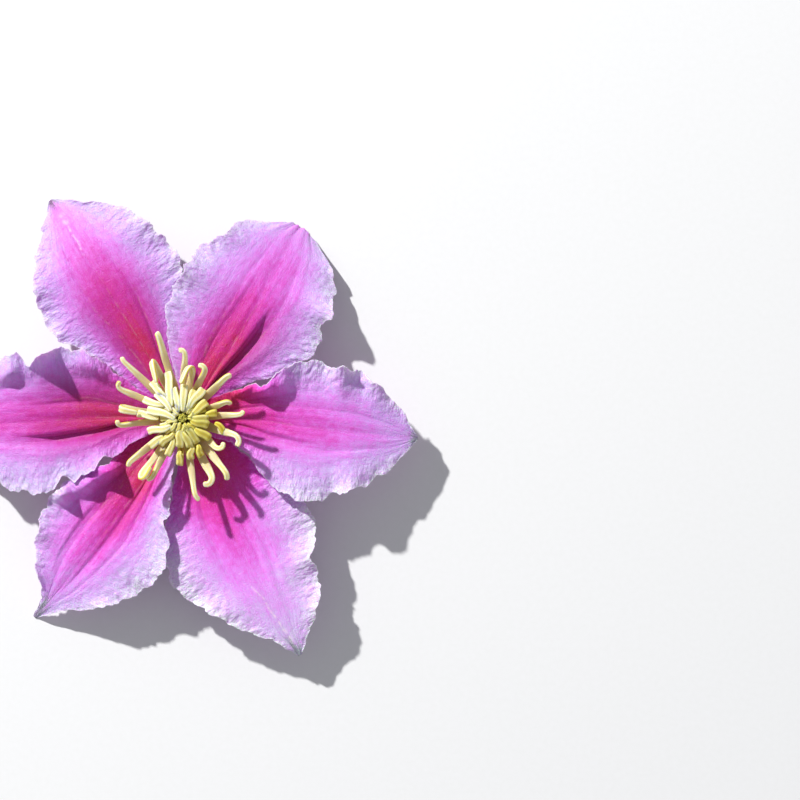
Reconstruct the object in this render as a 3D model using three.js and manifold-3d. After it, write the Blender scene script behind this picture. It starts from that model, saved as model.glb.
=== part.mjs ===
// A large-flowered clematis bloom, as picked, lying face up on four petal tips and its own stalk.
// Millimetres, +Z up. It lies on the surface z = 0, and the origin is under the middle of its bounding box.

import * as THREE from 'three';
import { mergeVertices } from 'three/addons/utils/BufferGeometryUtils.js';
import Module from 'manifold-3d';

const wasm = await Module();
wasm.setup();

// Driving dimensions
const AXIS_X = 0.916; // where the bloom's own axis stands from the origin
const AXIS_Y = 1.896;
const PETAL_THICKNESS = 0.6;
const GAP = 0.3; // between neighbouring pieces
const CLAW_RADIUS = 2.8; // the petals start this far from the axis
const CLAW_HEIGHT = 8; // middle of the lowest pair of claws above the surface
const CLAW_STEP = 0.95; // the petals stand in three opposite pairs, each pair this much above the last
const MARGIN_RISE = 0.8; // how far the margins of its outer half stand above its midline
const REST_HEIGHT = PETAL_THICKNESS / 2; // a petal's middle surface where its tip lies on the surface
const RIB_RELIEF = 0.32; // the bar's bulges stand this high and its three grooves go this deep
const RIB_SPREAD = 0.3; // the outer grooves run at this share of the half-width
const SCALLOP = 0.42; // how far the petal's frilled margin swings out and in
const SCALLOP_PITCH = 4.6;
const LIP_START = 0.58; // a rolled-back lip rises from this share of the half-width to its crest
const LIP_CREST = 0.88;
const LIP_FALL = 0.3; // and its margin hangs this share of its height below the crest
const RECEPTACLE_RADIUS = CLAW_RADIUS - GAP;
const STALK_RADIUS = 1.1;
const STALK_SIDES = 8;
const STALK_HEADING = -62; // from above
const STALK_REACH = 38;
const STRAP_THICKNESS = 0.7; // of a stamen
const OPEN_WIDTHS = [1.2, 1.6, 1.75, 1.7, 1.45, 1.2, 1.05]; // from its root to its tip
const OVER_WIDTHS = [1.2, 1.5, 1.7, 1.75, 1.65, 1.5, 1.4, 1.35, 1.3, 1.3, 1.3, 1.3, 1.2, 1.0];
const FOLDED_WIDTHS = [0.9, 1.2, 1.4, 1.5, 1.6, 1.6, 1.6, 1.5, 1.1];
const CENTRE_WIDTHS = [0.9, 1.2, 1.4, 1.4, 1.1];
const CROWN_RISE = 3.4; // height of the ring that all stamens grow from
const CROWN_TOP_RADIUS = 1.9;
const CROWN_HOLE = 1.25; // radius of its hole, which the styles stand in

// Shares of a petal's length at which its half-widths are given
const STATIONS = [0, 0.12, 0.25, 0.4, 0.55, 0.7, 0.82, 0.92, 1];
// How much of its claw's height a petal has there: it swells up a little before it bends down to its tip
const FALL = [1, 1.01, 1.05, 1.1, 1.1, 0.96, 0.7, 0.38, -0.03];
// The lower-right petal lies over the stalk and the right one faces the light, so their tips stay up
const FALL_OVER_STALK = [1, 1.01, 1.05, 1.11, 1.15, 1.14, 1.07, 0.97, 0.84];
const FALL_RIGHT = [1, 1.01, 1.05, 1.1, 1.13, 1.1, 1.0, 0.88, 0.74];

// Seen from above, 'left' is a petal's counterclockwise side and 'right' its clockwise side.
// left and right are half-widths from the midline, and bow moves the midline to the left, both in mm.
// lift raises a side that overlaps its neighbour or lowers one that is overlapped.
// Each wave is [side, share of the length, its own length as a share, height], and each inlet, where a curled
// margin is drawn in, is [side, share of the length, its own length as a share, depth]. A ruffle is a wave that
// stands up steeply at the margin alone, and a lip is one that rolls back outwards over its crest.
const LEFT = 1;
const RIGHT = -1;
const PETALS = [
  {
    name: 'petal_upper_left', heading: 121.7, length: 54.4, pair: 0,
    left: [2.6, 4.2, 6.8, 10.2, 14.9, 13.9, 9.9, 4.6, 0.4],
    right: [2.6, 3.4, 6.4, 12.4, 16.5, 15.2, 12.3, 6.3, 0.4],
    bow: [0, -0.2, -0.5, -0.6, -0.5, -0.4, -0.3, -0.2, 0],
    lift: { left: -0.9, right: -0.9 },
    waves: [
      [LEFT, 0.6, 0.05, -0.9], [LEFT, 0.72, 0.05, 1.2], [LEFT, 0.84, 0.05, -0.8],
      [RIGHT, 0.62, 0.05, -0.9], [RIGHT, 0.73, 0.05, 1.0], [RIGHT, 0.85, 0.05, -0.6],
      [RIGHT, 0.94, 0.04, 1.2],
    ],
    inlets: [],
  },
  {
    name: 'petal_upper_right', heading: 58.6, length: 46.2, pair: 1,
    left: [2.6, 5.6, 11.4, 16.2, 17.1, 16.8, 14.0, 10.8, 4.2],
    right: [2.6, 3.4, 5.8, 11.8, 15.3, 15.6, 13.8, 11.2, 4.6],
    bow: [0, -0.3, -0.6, -0.8, -0.8, -0.6, -0.3, 0, 0],
    lift: { left: 0.9, right: -0.9 },
    waves: [
      [LEFT, 0.58, 0.06, 1.2], [LEFT, 0.7, 0.05, -0.9], [LEFT, 0.82, 0.05, 1.1], [LEFT, 0.95, 0.05, -0.8],
      [RIGHT, 0.66, 0.05, -1.2], [RIGHT, 0.76, 0.045, 1.9], [RIGHT, 0.86, 0.05, -1.2],
      [RIGHT, 0.96, 0.04, 0.9],
    ],
    inlets: [[LEFT, 0.8, 0.05, 0.8], [RIGHT, 0.69, 0.035, 1.7]],
  },
  {
    name: 'petal_right', heading: -4.9, length: 49.5, pair: 2, fall: FALL_RIGHT,
    left: [2.6, 4.0, 6.6, 11.8, 14.2, 13.4, 10.3, 5.6, 0.4],
    right: [2.6, 4.2, 6.4, 13.4, 15.7, 13.0, 9.9, 5.8, 0.4],
    bow: [0, 0.9, 1.2, 0.8, 0.2, 0, 0, 0, 0],
    lift: { left: 1.1, right: 0.9 },
    waves: [
      [LEFT, 0.36, 0.05, 0.8], [LEFT, 0.46, 0.06, 1.2], [LEFT, 0.58, 0.035, -0.6], [LEFT, 0.66, 0.035, 1.6],
      [LEFT, 0.74, 0.03, -0.9], [LEFT, 0.81, 0.035, 1.3], [LEFT, 0.9, 0.035, -0.8],
      [RIGHT, 0.5, 0.07, 0.6], [RIGHT, 0.64, 0.04, -0.9], [RIGHT, 0.73, 0.05, 0.9], [RIGHT, 0.86, 0.05, -0.7],
    ],
    inlets: [[LEFT, 0.345, 0.045, 2.4], [LEFT, 0.62, 0.025, 0.6], [RIGHT, 0.66, 0.025, 0.8]],
    ruffles: [[LEFT, 0.26, 0.06, 3.0], [LEFT, 0.375, 0.045, 4.2], [LEFT, 0.66, 0.03, 1.6]],
  },
  {
    name: 'petal_lower_right', heading: -63.9, length: 55.8, pair: 0, fall: FALL_OVER_STALK,
    left: [2.6, 6.2, 9.6, 13.0, 16.4, 13.0, 10.5, 5.3, 0.4],
    right: [2.6, 4.2, 8.3, 13.4, 16.3, 12.2, 7.8, 2.9, 0.4],
    bow: [0, -0.4, -0.9, -1.3, -1.4, -1.2, -0.8, -0.4, 0],
    lift: { left: -0.9, right: -0.9 },
    waves: [
      [LEFT, 0.58, 0.05, -0.8], [LEFT, 0.67, 0.045, 1.6], [LEFT, 0.76, 0.04, -1.1], [LEFT, 0.86, 0.05, 0.9],
      [RIGHT, 0.62, 0.05, -0.8], [RIGHT, 0.72, 0.05, 0.9], [RIGHT, 0.82, 0.05, -0.7],
    ],
    inlets: [[LEFT, 0.68, 0.03, 1.0]],
  },
  {
    name: 'petal_lower_left', heading: -127.1, length: 53.0, pair: 1,
    left: [2.6, 3.0, 5.8, 10.8, 14.6, 12.6, 8.5, 3.3, 0.4],
    right: [2.6, 4.4, 8.2, 11.2, 13.8, 12.2, 7.4, 1.6, 0.4],
    bow: [0, 0.4, 1.0, 1.4, 1.4, 1.2, 0.9, 0.4, 0],
    lift: { left: 0.9, right: -0.9 },
    waves: [
      [LEFT, 0.32, 0.04, 1.8], [LEFT, 0.4, 0.04, 0.5], [LEFT, 0.52, 0.06, 1.0], [LEFT, 0.66, 0.05, -0.8],
      [LEFT, 0.8, 0.05, 0.8],
      [RIGHT, 0.6, 0.045, -0.9], [RIGHT, 0.69, 0.04, 1.4], [RIGHT, 0.77, 0.035, -0.9],
      [RIGHT, 0.85, 0.04, 1.2],
    ],
    inlets: [[LEFT, 0.375, 0.025, 1.6], [RIGHT, 0.32, 0.035, 2.0], [RIGHT, 0.72, 0.03, 0.7]],
    ruffles: [[LEFT, 0.32, 0.035, 2.0]],
    lips: [[RIGHT, 0.38, 0.05, 7.6], [RIGHT, 0.46, 0.055, 7.2]],
  },
  {
    name: 'petal_left', heading: -178.1, length: 51.2, pair: 2,
    left: [2.6, 3.4, 6.8, 13.4, 15.4, 14.4, 10.9, 5.7, 0.4],
    right: [2.6, 4.2, 8.4, 14.2, 15.0, 14.5, 10.9, 6.3, 0.4],
    bow: [0, -0.4, -0.7, -0.7, -0.4, -0.2, 0, 0, 0],
    lift: { left: 1.0, right: 1.1 },
    waves: [
      [LEFT, 0.34, 0.03, 1.0], [LEFT, 0.43, 0.05, 1.0], [LEFT, 0.56, 0.06, 1.1], [LEFT, 0.7, 0.05, -0.9],
      [LEFT, 0.83, 0.05, 0.9],
      [RIGHT, 0.38, 0.05, 0.8], [RIGHT, 0.5, 0.06, 1.4], [RIGHT, 0.61, 0.03, -0.4], [RIGHT, 0.67, 0.03, 1.0],
      [RIGHT, 0.75, 0.035, -0.5], [RIGHT, 0.85, 0.04, 1.1],
    ],
    inlets: [
      [LEFT, 0.34, 0.03, 2.4], [LEFT, 0.42, 0.05, 1.8], [LEFT, 0.505, 0.035, 2.8],
      [RIGHT, 0.58, 0.03, 1.5], [RIGHT, 0.63, 0.03, 2.8],
    ],
    ruffles: [[RIGHT, 0.37, 0.06, 2.6], [RIGHT, 0.575, 0.045, 8.2], [RIGHT, 0.715, 0.04, 5.8]],
  },
];

// The petal grid: rows along it, closer towards the tip, and columns across it, closer on the bar
const PETAL_ROWS = 26;
const ROW_EASE = 1.25;
const PETAL_COLUMNS = [-1, -0.9, -0.72, -0.5, -0.3, -0.15, 0, 0.15, 0.3, 0.5, 0.72, 0.9, 1];

// The outer stamens have unfurled: direction and reach of the tip from the axis, its height over the claws,
// and the tip's hook as [turn to the left in degrees, its length, its rise], or how it comes back over itself
// as [side, its length, its lean to the left in degrees]
const OUTER_STAMENS = [
  { turn: 106.4, reach: 18.2, tip: 8.5, hook: [25, 0.7, 0] },
  { turn: 136.0, reach: 17.2, tip: 7.5, hook: [-30, 1.0, 0.2] },
  { turn: 154.5, reach: 14.8, tip: 7.0, hook: [-100, 1.5, 0.6] },
  { turn: 170.4, reach: 12.8, tip: 7.0, over: [LEFT, 3.3, -2] },
  { turn: 186.2, reach: 13.3, tip: 6.5, hook: [-95, 1.2, 0.6] },
  { turn: 219.8, reach: 14.6, tip: 6.5, hook: [60, 1.4, -0.4] },
  { turn: 234.2, reach: 14.7, tip: 6.6, over: [LEFT, 2.5, 7] },
  { turn: 242.3, reach: 14.0, tip: 6.5, hook: [-50, 1.2, -0.3] },
  { turn: 279.2, reach: 16.2, tip: 7.2, hook: [35, 1.6, -0.4] },
  { turn: 295.8, reach: 14.1, tip: 6.6, hook: [-110, 2.5, -0.3] },
  { turn: 308.3, reach: 14.6, tip: 7.2, hook: [-40, 1.6, -0.4] },
  { turn: 319.5, reach: 9.8, tip: 8.3, hook: [120, 2.0, 0.2] },
  { turn: 341.6, reach: 12.0, tip: 8.6, hook: [-95, 2.3, -0.2] },
  { turn: 3.9, reach: 12.2, tip: 8.8, hook: [60, 1.0, 0.5] },
  { turn: 20.0, reach: 9.9, tip: 8.8, hook: [-70, 1.0, -0.5] },
  { turn: 43.0, reach: 12.6, tip: 8.9, hook: [-30, 1.2, 0] },
  { turn: 65.4, reach: 11.2, tip: 8.4, hook: [110, 1.8, 0.3] },
  { turn: 78.7, reach: 10.4, tip: 8.0, over: [LEFT, 3.4, -13] },
  { turn: 88.3, reach: 13.8, tip: 8.6, hook: [100, 1.4, 0.2] },
  { turn: 117.4, reach: 13.0, tip: 7.8, over: [LEFT, 4.0, -20] },
];
// The inner ones are still folded back over the middle: direction and reach of the fold, length of the fold,
// its lean to the left in degrees
const INNER_STAMENS = [
  [87, 6.8, 5.4, 0], [107, 6.4, 5.0, -7], [109, 10, 7.2, -14], [130.5, 9.8, 4.4, 4], [137, 7.4, 4.7, -10],
  [154, 8.9, 4.4, 12], [166.5, 7.4, 6.0, -6], [174, 9.3, 4.4, -10], [201, 7.6, 4.9, -9], [221, 8.9, 3.4, -8],
  [230.5, 7.1, 3.6, -13], [248, 8.3, 3.7, 5], [264, 5.9, 3.4, 0], [266, 9.7, 2.8, 0], [281.5, 8.6, 2.7, -21],
  [284, 6.0, 3.4, 18], [296, 8.7, 2.3, -15], [300.5, 5.8, 4.2, 12], [323.5, 6.9, 3.6, 4], [342, 10, 3.5, -24],
  [345, 5.4, 3.6, 0], [359, 5.2, 3.4, 0], [9, 7.0, 2.0, 0], [34, 5.9, 3.8, 10], [54.5, 7.3, 4.7, -1],
  [68.5, 6.2, 4.4, 0],
];
const FOLD_HEIGHT = 9.2; // of the dome that the folded ones make over the claws
const FOLD_SLOPE = 0.22; // and how it falls off outwards
const BEND = 0.5; // half the height of the bend where a stamen comes back over itself
// The innermost ones stand round the styles, by rule
const CENTRE_STAMENS = { count: 9, reach: 3.3, fold: 1.5, start: 14 };
// Where each ring is rooted: distance from the axis and height over the foot of the crown
const ROOTS = { outer: [1.9, 0.6], inner: [1.75, 1.6], centre: [1.65, 2.4] };
const STYLE_COUNT = 9;

// A seeded random number from 0 to 1, so that every build is alike
function makeRandom(seed) {
  let state = seed;
  return () => {
    state = (state * 1664525 + 1013904223) % 4294967296;
    return state / 4294967296;
  };
}

function smoothstep(low, high, value) {
  const share = Math.min(Math.max((value - low) / (high - low), 0), 1);
  return share * share * (3 - 2 * share);
}

// A smooth curve through values at the stations that never swings past them
function through(values, t) {
  const last = STATIONS.length - 2;
  let i = 0;
  while (i < last && t > STATIONS[i + 1]) i += 1;
  const slope = (k) => (values[k + 1] - values[k]) / (STATIONS[k + 1] - STATIONS[k]);
  const tangent = (k) => {
    if (k === 0) return slope(0);
    if (k === last + 1) return slope(last);
    const product = slope(k - 1) * slope(k);
    return product <= 0 ? 0 : (2 * product) / (slope(k - 1) + slope(k));
  };
  const span = STATIONS[i + 1] - STATIONS[i];
  const u = (t - STATIONS[i]) / span;
  const u2 = u * u;
  const u3 = u2 * u;
  return (
    (2 * u3 - 3 * u2 + 1) * values[i] + (u3 - 2 * u2 + u) * span * tangent(i) +
    (3 * u2 - 2 * u3) * values[i + 1] + (u3 - u2) * span * tangent(i + 1)
  );
}

// The bar's relief across a petal: a groove on the midline and one on each side, with bulges between
function barRelief(t, v) {
  const across = Math.cos((2 * Math.PI * v) / RIB_SPREAD);
  const onBar = 1 - smoothstep(RIB_SPREAD, 2.2 * RIB_SPREAD, Math.abs(v));
  const along = smoothstep(0.05, 0.2, t) * (1 - smoothstep(0.75, 1, t));
  return -RIB_RELIEF * across * onBar * along;
}

// How much the swellings listed for one margin come to at t; each is [side, place, span, amount]
function swellings(list, side, t) {
  let sum = 0;
  for (const [listedSide, place, span, amount] of list) {
    if (listedSide === side) sum += amount * Math.exp(-(((t - place) / span) ** 2));
  }
  return sum;
}

// A petal's middle surface: t runs from its claw to its tip, v from -1 on the right margin to 1 on the left
function petalSurface(petal, t, v) {
  const side = v < 0 ? RIGHT : LEFT;
  const reach = Math.abs(v);
  const halfWidth = through(side === LEFT ? petal.left : petal.right, t);
  const frilled = smoothstep(0.7, 1, reach) * smoothstep(0.1, 0.3, t) * smoothstep(1, 0.9, t);
  const frill = SCALLOP * frilled * Math.sin((2 * Math.PI * t * petal.length) / SCALLOP_PITCH + 2 * side);
  const drawnIn = swellings(petal.inlets, side, t) * reach ** 3;
  const along = t * petal.length;
  const across = through(petal.bow, t) + v * halfWidth + side * (frill - drawnIn);

  const claw = CLAW_HEIGHT + petal.pair * CLAW_STEP;
  let height = REST_HEIGHT + (claw - REST_HEIGHT) * through(petal.fall || FALL, t);
  const overlapped = smoothstep(0.03, 0.15, t) * (1 - smoothstep(0.6, 0.85, t));
  height += (side === LEFT ? petal.lift.left : petal.lift.right) * overlapped * reach ** 1.5;
  height += MARGIN_RISE * smoothstep(0.5, 0.8, t) * (1 - smoothstep(0.85, 1, t)) * reach ** 2;
  height += barRelief(t, v);
  height += swellings(petal.waves, side, t) * reach ** 3;
  height += swellings(petal.ruffles || [], side, t) * reach ** 5;
  const lip = smoothstep(LIP_START, LIP_CREST, reach) - LIP_FALL * smoothstep(LIP_CREST, 1, reach);
  height += swellings(petal.lips || [], side, t) * lip;
  // the tip lies on the surface instead of going through it
  height = Math.max(height, REST_HEIGHT);

  const heading = THREE.MathUtils.degToRad(petal.heading);
  return new THREE.Vector3(
    along * Math.cos(heading) - across * Math.sin(heading),
    along * Math.sin(heading) + across * Math.cos(heading),
    height,
  );
}

function petalNormal(petal, t, v) {
  const step = 0.004;
  const before = Math.max(t - step, 0);
  const after = Math.min(t + step, 1);
  const alongStep = petalSurface(petal, after, v).sub(petalSurface(petal, before, v));
  const right = Math.max(v - step, -1);
  const left = Math.min(v + step, 1);
  const acrossStep = petalSurface(petal, t, left).sub(petalSurface(petal, t, right));
  return alongStep.cross(acrossStep).normalize();
}

// Two alike faces half the thickness to each side of the middle surface, joined round the rim
function petalGeometry(petal) {
  const columns = PETAL_COLUMNS.length;
  const positions = [];
  const start = CLAW_RADIUS / petal.length;
  for (const face of [1, -1]) {
    for (let row = 0; row < PETAL_ROWS; row += 1) {
      const rest = 1 - row / (PETAL_ROWS - 1);
      const t = 1 - (1 - start) * rest ** ROW_EASE;
      for (const v of PETAL_COLUMNS) {
        const point = petalSurface(petal, t, v);
        const normal = petalNormal(petal, t, v);
        if (row === PETAL_ROWS - 1) normal.set(0, 0, 1);
        point.addScaledVector(normal, (face * PETAL_THICKNESS) / 2);
        positions.push(point.x, point.y, Math.max(point.z, 0));
      }
    }
  }
  const under = PETAL_ROWS * columns;
  const at = (row, column) => row * columns + column;
  const triangles = [];
  for (let row = 0; row < PETAL_ROWS - 1; row += 1) {
    for (let column = 0; column < columns - 1; column += 1) {
      const a = at(row, column);
      const b = at(row + 1, column);
      const c = at(row + 1, column + 1);
      const d = at(row, column + 1);
      triangles.push(a, b, c, a, c, d);
      triangles.push(a + under, c + under, b + under, a + under, d + under, c + under);
    }
  }
  const rim = [];
  for (let row = 0; row < PETAL_ROWS - 1; row += 1) rim.push(at(row, 0));
  for (let column = 0; column < columns - 1; column += 1) rim.push(at(PETAL_ROWS - 1, column));
  for (let row = PETAL_ROWS - 1; row > 0; row -= 1) rim.push(at(row, columns - 1));
  for (let column = columns - 1; column > 0; column -= 1) rim.push(at(0, column));
  rim.forEach((a, index) => {
    const b = rim[(index + 1) % rim.length];
    triangles.push(a, a + under, b + under, a, b + under, b);
  });
  const geometry = new THREE.BufferGeometry();
  geometry.setAttribute('position', new THREE.Float32BufferAttribute(positions, 3));
  geometry.setIndex(triangles);
  geometry.computeVertexNormals();
  return geometry;
}

function solidOf(geometry) {
  geometry.deleteAttribute('normal');
  geometry.deleteAttribute('uv');
  const merged = mergeVertices(geometry, 1e-4);
  const vertProperties = new Float32Array(merged.attributes.position.array);
  const triVerts = new Uint32Array(merged.index.array);
  return new wasm.Manifold(new wasm.Mesh({ numProp: 3, vertProperties, triVerts }));
}

function geometryOf(solid) {
  const mesh = solid.getMesh();
  const geometry = new THREE.BufferGeometry();
  geometry.setAttribute('position', new THREE.BufferAttribute(mesh.vertProperties, 3));
  geometry.setIndex(new THREE.BufferAttribute(mesh.triVerts, 1));
  geometry.computeVertexNormals();
  return geometry;
}

// Joins closed pieces that grow out of each other, and fills the pockets that they shut in between them
function joined(geometries) {
  const union = geometries.map(solidOf).reduce((sum, solid) => sum.add(solid));
  const bodies = union.decompose().filter((body) => body.volume() > 0);
  return geometryOf(bodies.reduce((largest, body) => (body.volume() > largest.volume() ? body : largest)));
}

// A closed solid swept along a curve. At each step section(share) gives its corners counterclockwise,
// as [across, upward] from the middle.
function sweep(curve, steps, sideways, section) {
  const positions = [];
  const triangles = [];
  const sides = section(0).length;
  for (let step = 0; step <= steps; step += 1) {
    const centre = curve.getPointAt(step / steps);
    const tangent = curve.getTangentAt(step / steps);
    const across = sideways.clone().addScaledVector(tangent, -sideways.dot(tangent)).normalize();
    const upward = new THREE.Vector3().crossVectors(tangent, across);
    for (const [a, b] of section(step / steps)) {
      const corner = centre.clone().addScaledVector(across, a).addScaledVector(upward, b);
      positions.push(corner.x, corner.y, Math.max(corner.z, 0));
    }
    if (step === steps) break;
    for (let corner = 0; corner < sides; corner += 1) {
      const a = sides * step + corner;
      const b = sides * step + ((corner + 1) % sides);
      triangles.push(a, b, b + sides, a, b + sides, a + sides);
    }
  }
  const end = sides * steps;
  for (let corner = 1; corner < sides - 1; corner += 1) {
    triangles.push(0, corner + 1, corner, end, end + corner, end + corner + 1);
  }
  const geometry = new THREE.BufferGeometry();
  geometry.setAttribute('position', new THREE.Float32BufferAttribute(positions, 3));
  geometry.setIndex(triangles);
  return geometry;
}

// A flat strap through a list of points, with its widths at even steps
function strap(points, widths, thickness, sideways) {
  const steps = widths.length - 1;
  const section = (share) => {
    const a = widths[Math.round(share * steps)] / 2;
    const b = thickness / 2;
    return [[a, b], [-a, b], [-a, -b], [a, -b]];
  };
  return sweep(new THREE.CatmullRomCurve3(points), steps, sideways, section);
}

// Heights in the middle of the bloom, from the claws up
const CLAWS_TOP = CLAW_HEIGHT + 2 * CLAW_STEP + PETAL_THICKNESS / 2;
const RECEPTACLE_TOP = CLAWS_TOP + GAP / 2;
const CROWN_BOTTOM = RECEPTACLE_TOP + GAP;
const CROWN_TOP = CROWN_BOTTOM + CROWN_RISE;
const CROWN_RADIUS = CLAW_RADIUS - 0.1;
const PISTIL_RADIUS = CROWN_HOLE - GAP;

function polar(turn, radius, height) {
  const angle = THREE.MathUtils.degToRad(turn);
  return new THREE.Vector3(radius * Math.cos(angle), radius * Math.sin(angle), height);
}

// An unfurled stamen rises out of the crown, bends outwards and may end in a hook
function openStamen({ turn, reach, tip, hook, over }, [rootRadius, rootHeight]) {
  const root = polar(turn, rootRadius, CROWN_BOTTOM + rootHeight);
  const end = polar(turn, reach, CLAWS_TOP + tip);
  const points = [root];
  for (const share of [0.3, 0.65]) {
    const point = root.clone().lerp(end, share);
    point.z += 0.14 * (reach - rootRadius) * Math.sin(Math.PI * share);
    points.push(point);
  }
  points.push(end);
  if (hook) {
    const [bend, length, rise] = hook;
    const halfway = polar(turn + bend / 2, length / 2, rise / 2).add(end);
    points.push(halfway, polar(turn + bend, length / 2, rise / 2).add(halfway));
  }
  if (over) {
    const [side, length, lean] = over;
    const above = (share, outwards) => polar(turn + 90 * side, share, 0)
      .add(polar(turn, outwards, 0)).add(end).add(new THREE.Vector3(0, 0, 2 * BEND * share));
    points.push(above(0.5, BEND), above(1, 0), above(1, 0).add(polar(turn + 180 + lean, length, 0)));
  }
  return strap(points, over ? OVER_WIDTHS : OPEN_WIDTHS, STRAP_THICKNESS, polar(turn + 90, 1, 0));
}

// A folded stamen rises to its fold and comes back over itself, towards the axis
function foldedStamen(turn, reach, fold, lean, [rootRadius, rootHeight], widths) {
  const elbow = CLAWS_TOP + FOLD_HEIGHT - FOLD_SLOPE * reach;
  const points = [
    polar(turn, rootRadius, CROWN_BOTTOM + rootHeight),
    polar(turn, 0.62 * reach + 0.38 * rootRadius, elbow - 3.4),
    polar(turn, reach - 0.15, elbow - 0.9),
    polar(turn, reach - 0.1, elbow - 0.05),
    polar(turn, reach - 0.9, elbow + 0.25),
    polar(turn, reach - 0.9, elbow + 0.25 + FOLD_SLOPE * (fold - 0.9)).add(polar(turn + 180 + lean, fold - 0.9, 0)),
  ];
  return strap(points, widths, STRAP_THICKNESS, polar(turn + 90, 1, 0));
}

function crown() {
  const outline = [
    [CROWN_HOLE, CROWN_BOTTOM], [CROWN_RADIUS, CROWN_BOTTOM], [CROWN_RADIUS, CROWN_BOTTOM + 1.2],
    [CROWN_TOP_RADIUS, CROWN_TOP], [CROWN_HOLE, CROWN_TOP], [CROWN_HOLE, CROWN_BOTTOM],
  ].map(([x, y]) => new THREE.Vector2(x, y));
  return new THREE.LatheGeometry(outline, 18).rotateX(Math.PI / 2);
}

function stamensGeometry() {
  const random = makeRandom(7);
  const pieces = [crown()];
  for (const one of OUTER_STAMENS) pieces.push(openStamen(one, ROOTS.outer));
  for (const [turn, reach, fold, lean] of INNER_STAMENS) {
    pieces.push(foldedStamen(turn, reach, fold, lean, ROOTS.inner, FOLDED_WIDTHS));
  }
  const { count, reach, fold, start } = CENTRE_STAMENS;
  for (let i = 0; i < count; i += 1) {
    const turn = start + ((i + 0.4 * (random() - 0.5)) * 360) / count;
    pieces.push(foldedStamen(turn, reach * (0.9 + 0.2 * random()), fold, 0, ROOTS.centre, CENTRE_WIDTHS));
  }
  return joined(pieces);
}

// The styles stand close together on a small dome inside the ring of stamens
function pistilsGeometry() {
  const random = makeRandom(3);
  const top = CROWN_TOP + 1.0;
  const outline = [
    [0, CROWN_BOTTOM], [PISTIL_RADIUS, CROWN_BOTTOM], [PISTIL_RADIUS, top - 0.5],
    [0.6 * PISTIL_RADIUS, top], [0, top],
  ].map(([x, y]) => new THREE.Vector2(x, y));
  const pieces = [new THREE.LatheGeometry(outline, 12).rotateX(Math.PI / 2)];
  for (let i = 0; i < STYLE_COUNT; i += 1) {
    const turn = (i * 360) / 1.618;
    const radius = 0.62 * PISTIL_RADIUS * Math.sqrt((i + 0.5) / STYLE_COUNT);
    const root = polar(turn, radius, top - 0.9);
    const end = polar(turn, radius + 0.45 + 0.2 * random(), top + 1.4 + 0.6 * random());
    const middle = root.clone().lerp(end, 0.5);
    middle.z += 0.3;
    pieces.push(strap([root, middle, end], [0.6, 0.6, 0.6], 0.6, polar(turn + 90, 1, 0)));
  }
  return joined(pieces);
}

// The stalk leaves the receptacle downwards, bends and lies along the surface under the lower-right petal.
// Its route is [distance from the axis, height], and its lowest facet is flat on the surface.
const STALK_REST = STALK_RADIUS * Math.cos(Math.PI / STALK_SIDES);
const STALK_ROUTE = [
  [0, CLAW_HEIGHT - 1.2], [0.2, CLAW_HEIGHT - 2.7], [1.7, CLAW_HEIGHT - 4.8], [4.6, 1.8], [9, 1.15],
  [13, STALK_REST], [20, STALK_REST], [30, STALK_REST], [STALK_REACH, STALK_REST],
];

function stalkGeometry() {
  const points = STALK_ROUTE.map(([distance, height]) => polar(STALK_HEADING, distance, height));
  const corners = [];
  for (let corner = 0; corner < STALK_SIDES; corner += 1) {
    const angle = (2 * Math.PI * (corner + 0.5)) / STALK_SIDES;
    corners.push([STALK_RADIUS * Math.cos(angle), STALK_RADIUS * Math.sin(angle)]);
  }
  const curve = new THREE.CatmullRomCurve3(points, false, 'centripetal');
  return sweep(curve, 22, polar(STALK_HEADING + 90, 1, 0), () => corners);
}

// Stalk and receptacle are one grown piece
function stemGeometry() {
  const outline = [
    [0, CLAW_HEIGHT - 2.2], [0.9, CLAW_HEIGHT - 2.2], [1.35, CLAW_HEIGHT - 1.4],
    [RECEPTACLE_RADIUS, CLAW_HEIGHT - 0.5], [RECEPTACLE_RADIUS, RECEPTACLE_TOP], [0, RECEPTACLE_TOP],
  ].map(([x, y]) => new THREE.Vector2(x, y));
  const receptacle = new THREE.LatheGeometry(outline, 16).rotateX(Math.PI / 2);
  return joined([stalkGeometry(), receptacle]);
}

const petalMaterial = new THREE.MeshStandardMaterial({ color: '#d77fe0', roughness: 0.6, metalness: 0 });
const stamenMaterial = new THREE.MeshStandardMaterial({ color: '#ece7b4', roughness: 0.6, metalness: 0 });
const pistilMaterial = new THREE.MeshStandardMaterial({ color: '#a89a56', roughness: 0.7, metalness: 0 });
const stemMaterial = new THREE.MeshStandardMaterial({ color: '#7d8a4a', roughness: 0.6, metalness: 0 });

function part(name, geometry, material) {
  const mesh = new THREE.Mesh(geometry, material);
  mesh.name = name;
  return mesh;
}

const flower = new THREE.Group();
flower.position.set(AXIS_X, AXIS_Y, 0);
for (const petal of PETALS) flower.add(part(petal.name, petalGeometry(petal), petalMaterial));
flower.add(part('stem', stemGeometry(), stemMaterial));
flower.add(part('stamens', stamensGeometry(), stamenMaterial));
flower.add(part('pistils', pistilsGeometry(), pistilMaterial));
flower.updateMatrixWorld(true);

export default flower;
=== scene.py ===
# %% [markdown]
# # A clematis bloom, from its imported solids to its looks
#
# The object is one open flower of a large-flowered garden clematis, as picked: six mauve-pink petals with a
# magenta bar, a brush of cream stamens, a tuft of styles and a short stalk. It lies face up on its stalk and
# on four of its petal tips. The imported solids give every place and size. This script rebuilds each of them
# finer, from nearly the same numbers, and gives it a material. All lengths are worked out in millimetres and
# turned into metres when a mesh is made.

# %% Load the frame
import math

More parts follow.
